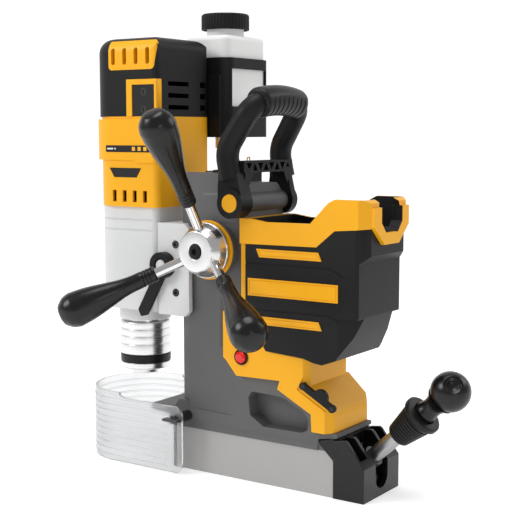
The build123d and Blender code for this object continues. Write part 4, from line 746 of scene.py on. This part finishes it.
# camera, lights and floor
cameraView = {"azimuth": 33.9, "elevation": 6.6, "distance": 1.3,
              "target": (-0.0067, 0.0064, 0.2393), "lens": 77.8}
lamps = {
    "key": {"place": (-1.5, -1.9, 1.7), "size": 1.3, "power": 34},
    "rim": {"place": (1.4, 1.5, 1.5), "size": 1.2, "power": 9},
    "top": {"place": (0.0, -0.2, 2.3), "size": 1.4, "power": 22},
    "strip": {"place": (1.7, -1.4, 0.7), "size": 0.5, "power": 3},
}
studio = {"world": 0.42, "floor": 0.8, "glow": 0.42, "wallAt": 3.2, "bend": 1.4}


def makeCamera(v):
    az, el = math.radians(v["azimuth"]), math.radians(v["elevation"])
    back = Vector((math.sin(az) * math.cos(el), -math.cos(az) * math.cos(el), math.sin(el)))
    data = bpy.data.cameras.new("camera")
    data.lens = v["lens"]
    data.sensor_width = 36
    camera = bpy.data.objects.new("camera", data)
    bpy.context.scene.collection.objects.link(camera)
    camera.location = Vector(v["target"]) + back * v["distance"]
    camera.rotation_mode = "QUATERNION"
    camera.rotation_quaternion = (-back).to_track_quat("-Z", "Y")
    bpy.context.scene.camera = camera


def makeLamps():
    aim = Vector((0, 0, 0.24))
    for name, lamp in lamps.items():
        data = bpy.data.lights.new(name, "AREA")
        data.shape = "DISK"
        data.size = lamp["size"]
        data.energy = lamp["power"]
        light = bpy.data.objects.new(name, data)
        bpy.context.scene.collection.objects.link(light)
        light.location = lamp["place"]
        light.rotation_mode = "QUATERNION"
        light.rotation_quaternion = (aim - light.location).to_track_quat("-Z", "Y")
    world = bpy.data.worlds.new("studio")
    world.use_nodes = True
    background = world.node_tree.nodes["Background"]
    background.inputs["Color"].default_value = (1, 1, 1, 1)
    background.inputs["Strength"].default_value = studio["world"]
    bpy.context.scene.world = world


def litLook(name, shade, glow):
    mat = makeLook(name, (shade, shade, shade), 0.8, mottle=0.01, grain=60)
    shader = mat.node_tree.nodes["Principled BSDF"]
    shader.inputs["Emission Color"].default_value = (1, 1, 1, 1)
    shader.inputs["Emission Strength"].default_value = glow
    return mat


# pale floor that sweeps up into a pale wall behind the press
def makeFloor():
    v = studio
    bm = bmesh.new()
    turn = Matrix.Rotation(math.radians(cameraView["azimuth"]), 4, "Z")
    bend = v["bend"]
    line = [(-9.0, 0.0), (v["wallAt"] - bend, 0.0)]
    line += [(v["wallAt"] - bend + bend * math.sin(a), bend - bend * math.cos(a)) for a in
             [math.pi / 2 * step / 16 for step in range(1, 17)]]
    line += [(v["wallAt"], 4.0)]
    rows = [[bm.verts.new(turn @ Vector((x, y, z))) for x in (-7.0, 7.0)] for y, z in line]
    for a, b in zip(rows, rows[1:]):
        bm.faces.new((a[0], a[1], b[1], b[0]))
    mesh = bpy.data.meshes.new("floor")
    bm.to_mesh(mesh)
    bm.free()
    floor = bpy.data.objects.new("floor", mesh)
    bpy.context.scene.collection.objects.link(floor)
    mesh.materials.append(litLook("floorPaint", v["floor"], v["glow"]))
    mesh.shade_smooth()


makeCamera(cameraView)
makeLamps()
makeFloor()
bpy.context.scene.view_settings.view_transform = "Standard"
print("scene done")
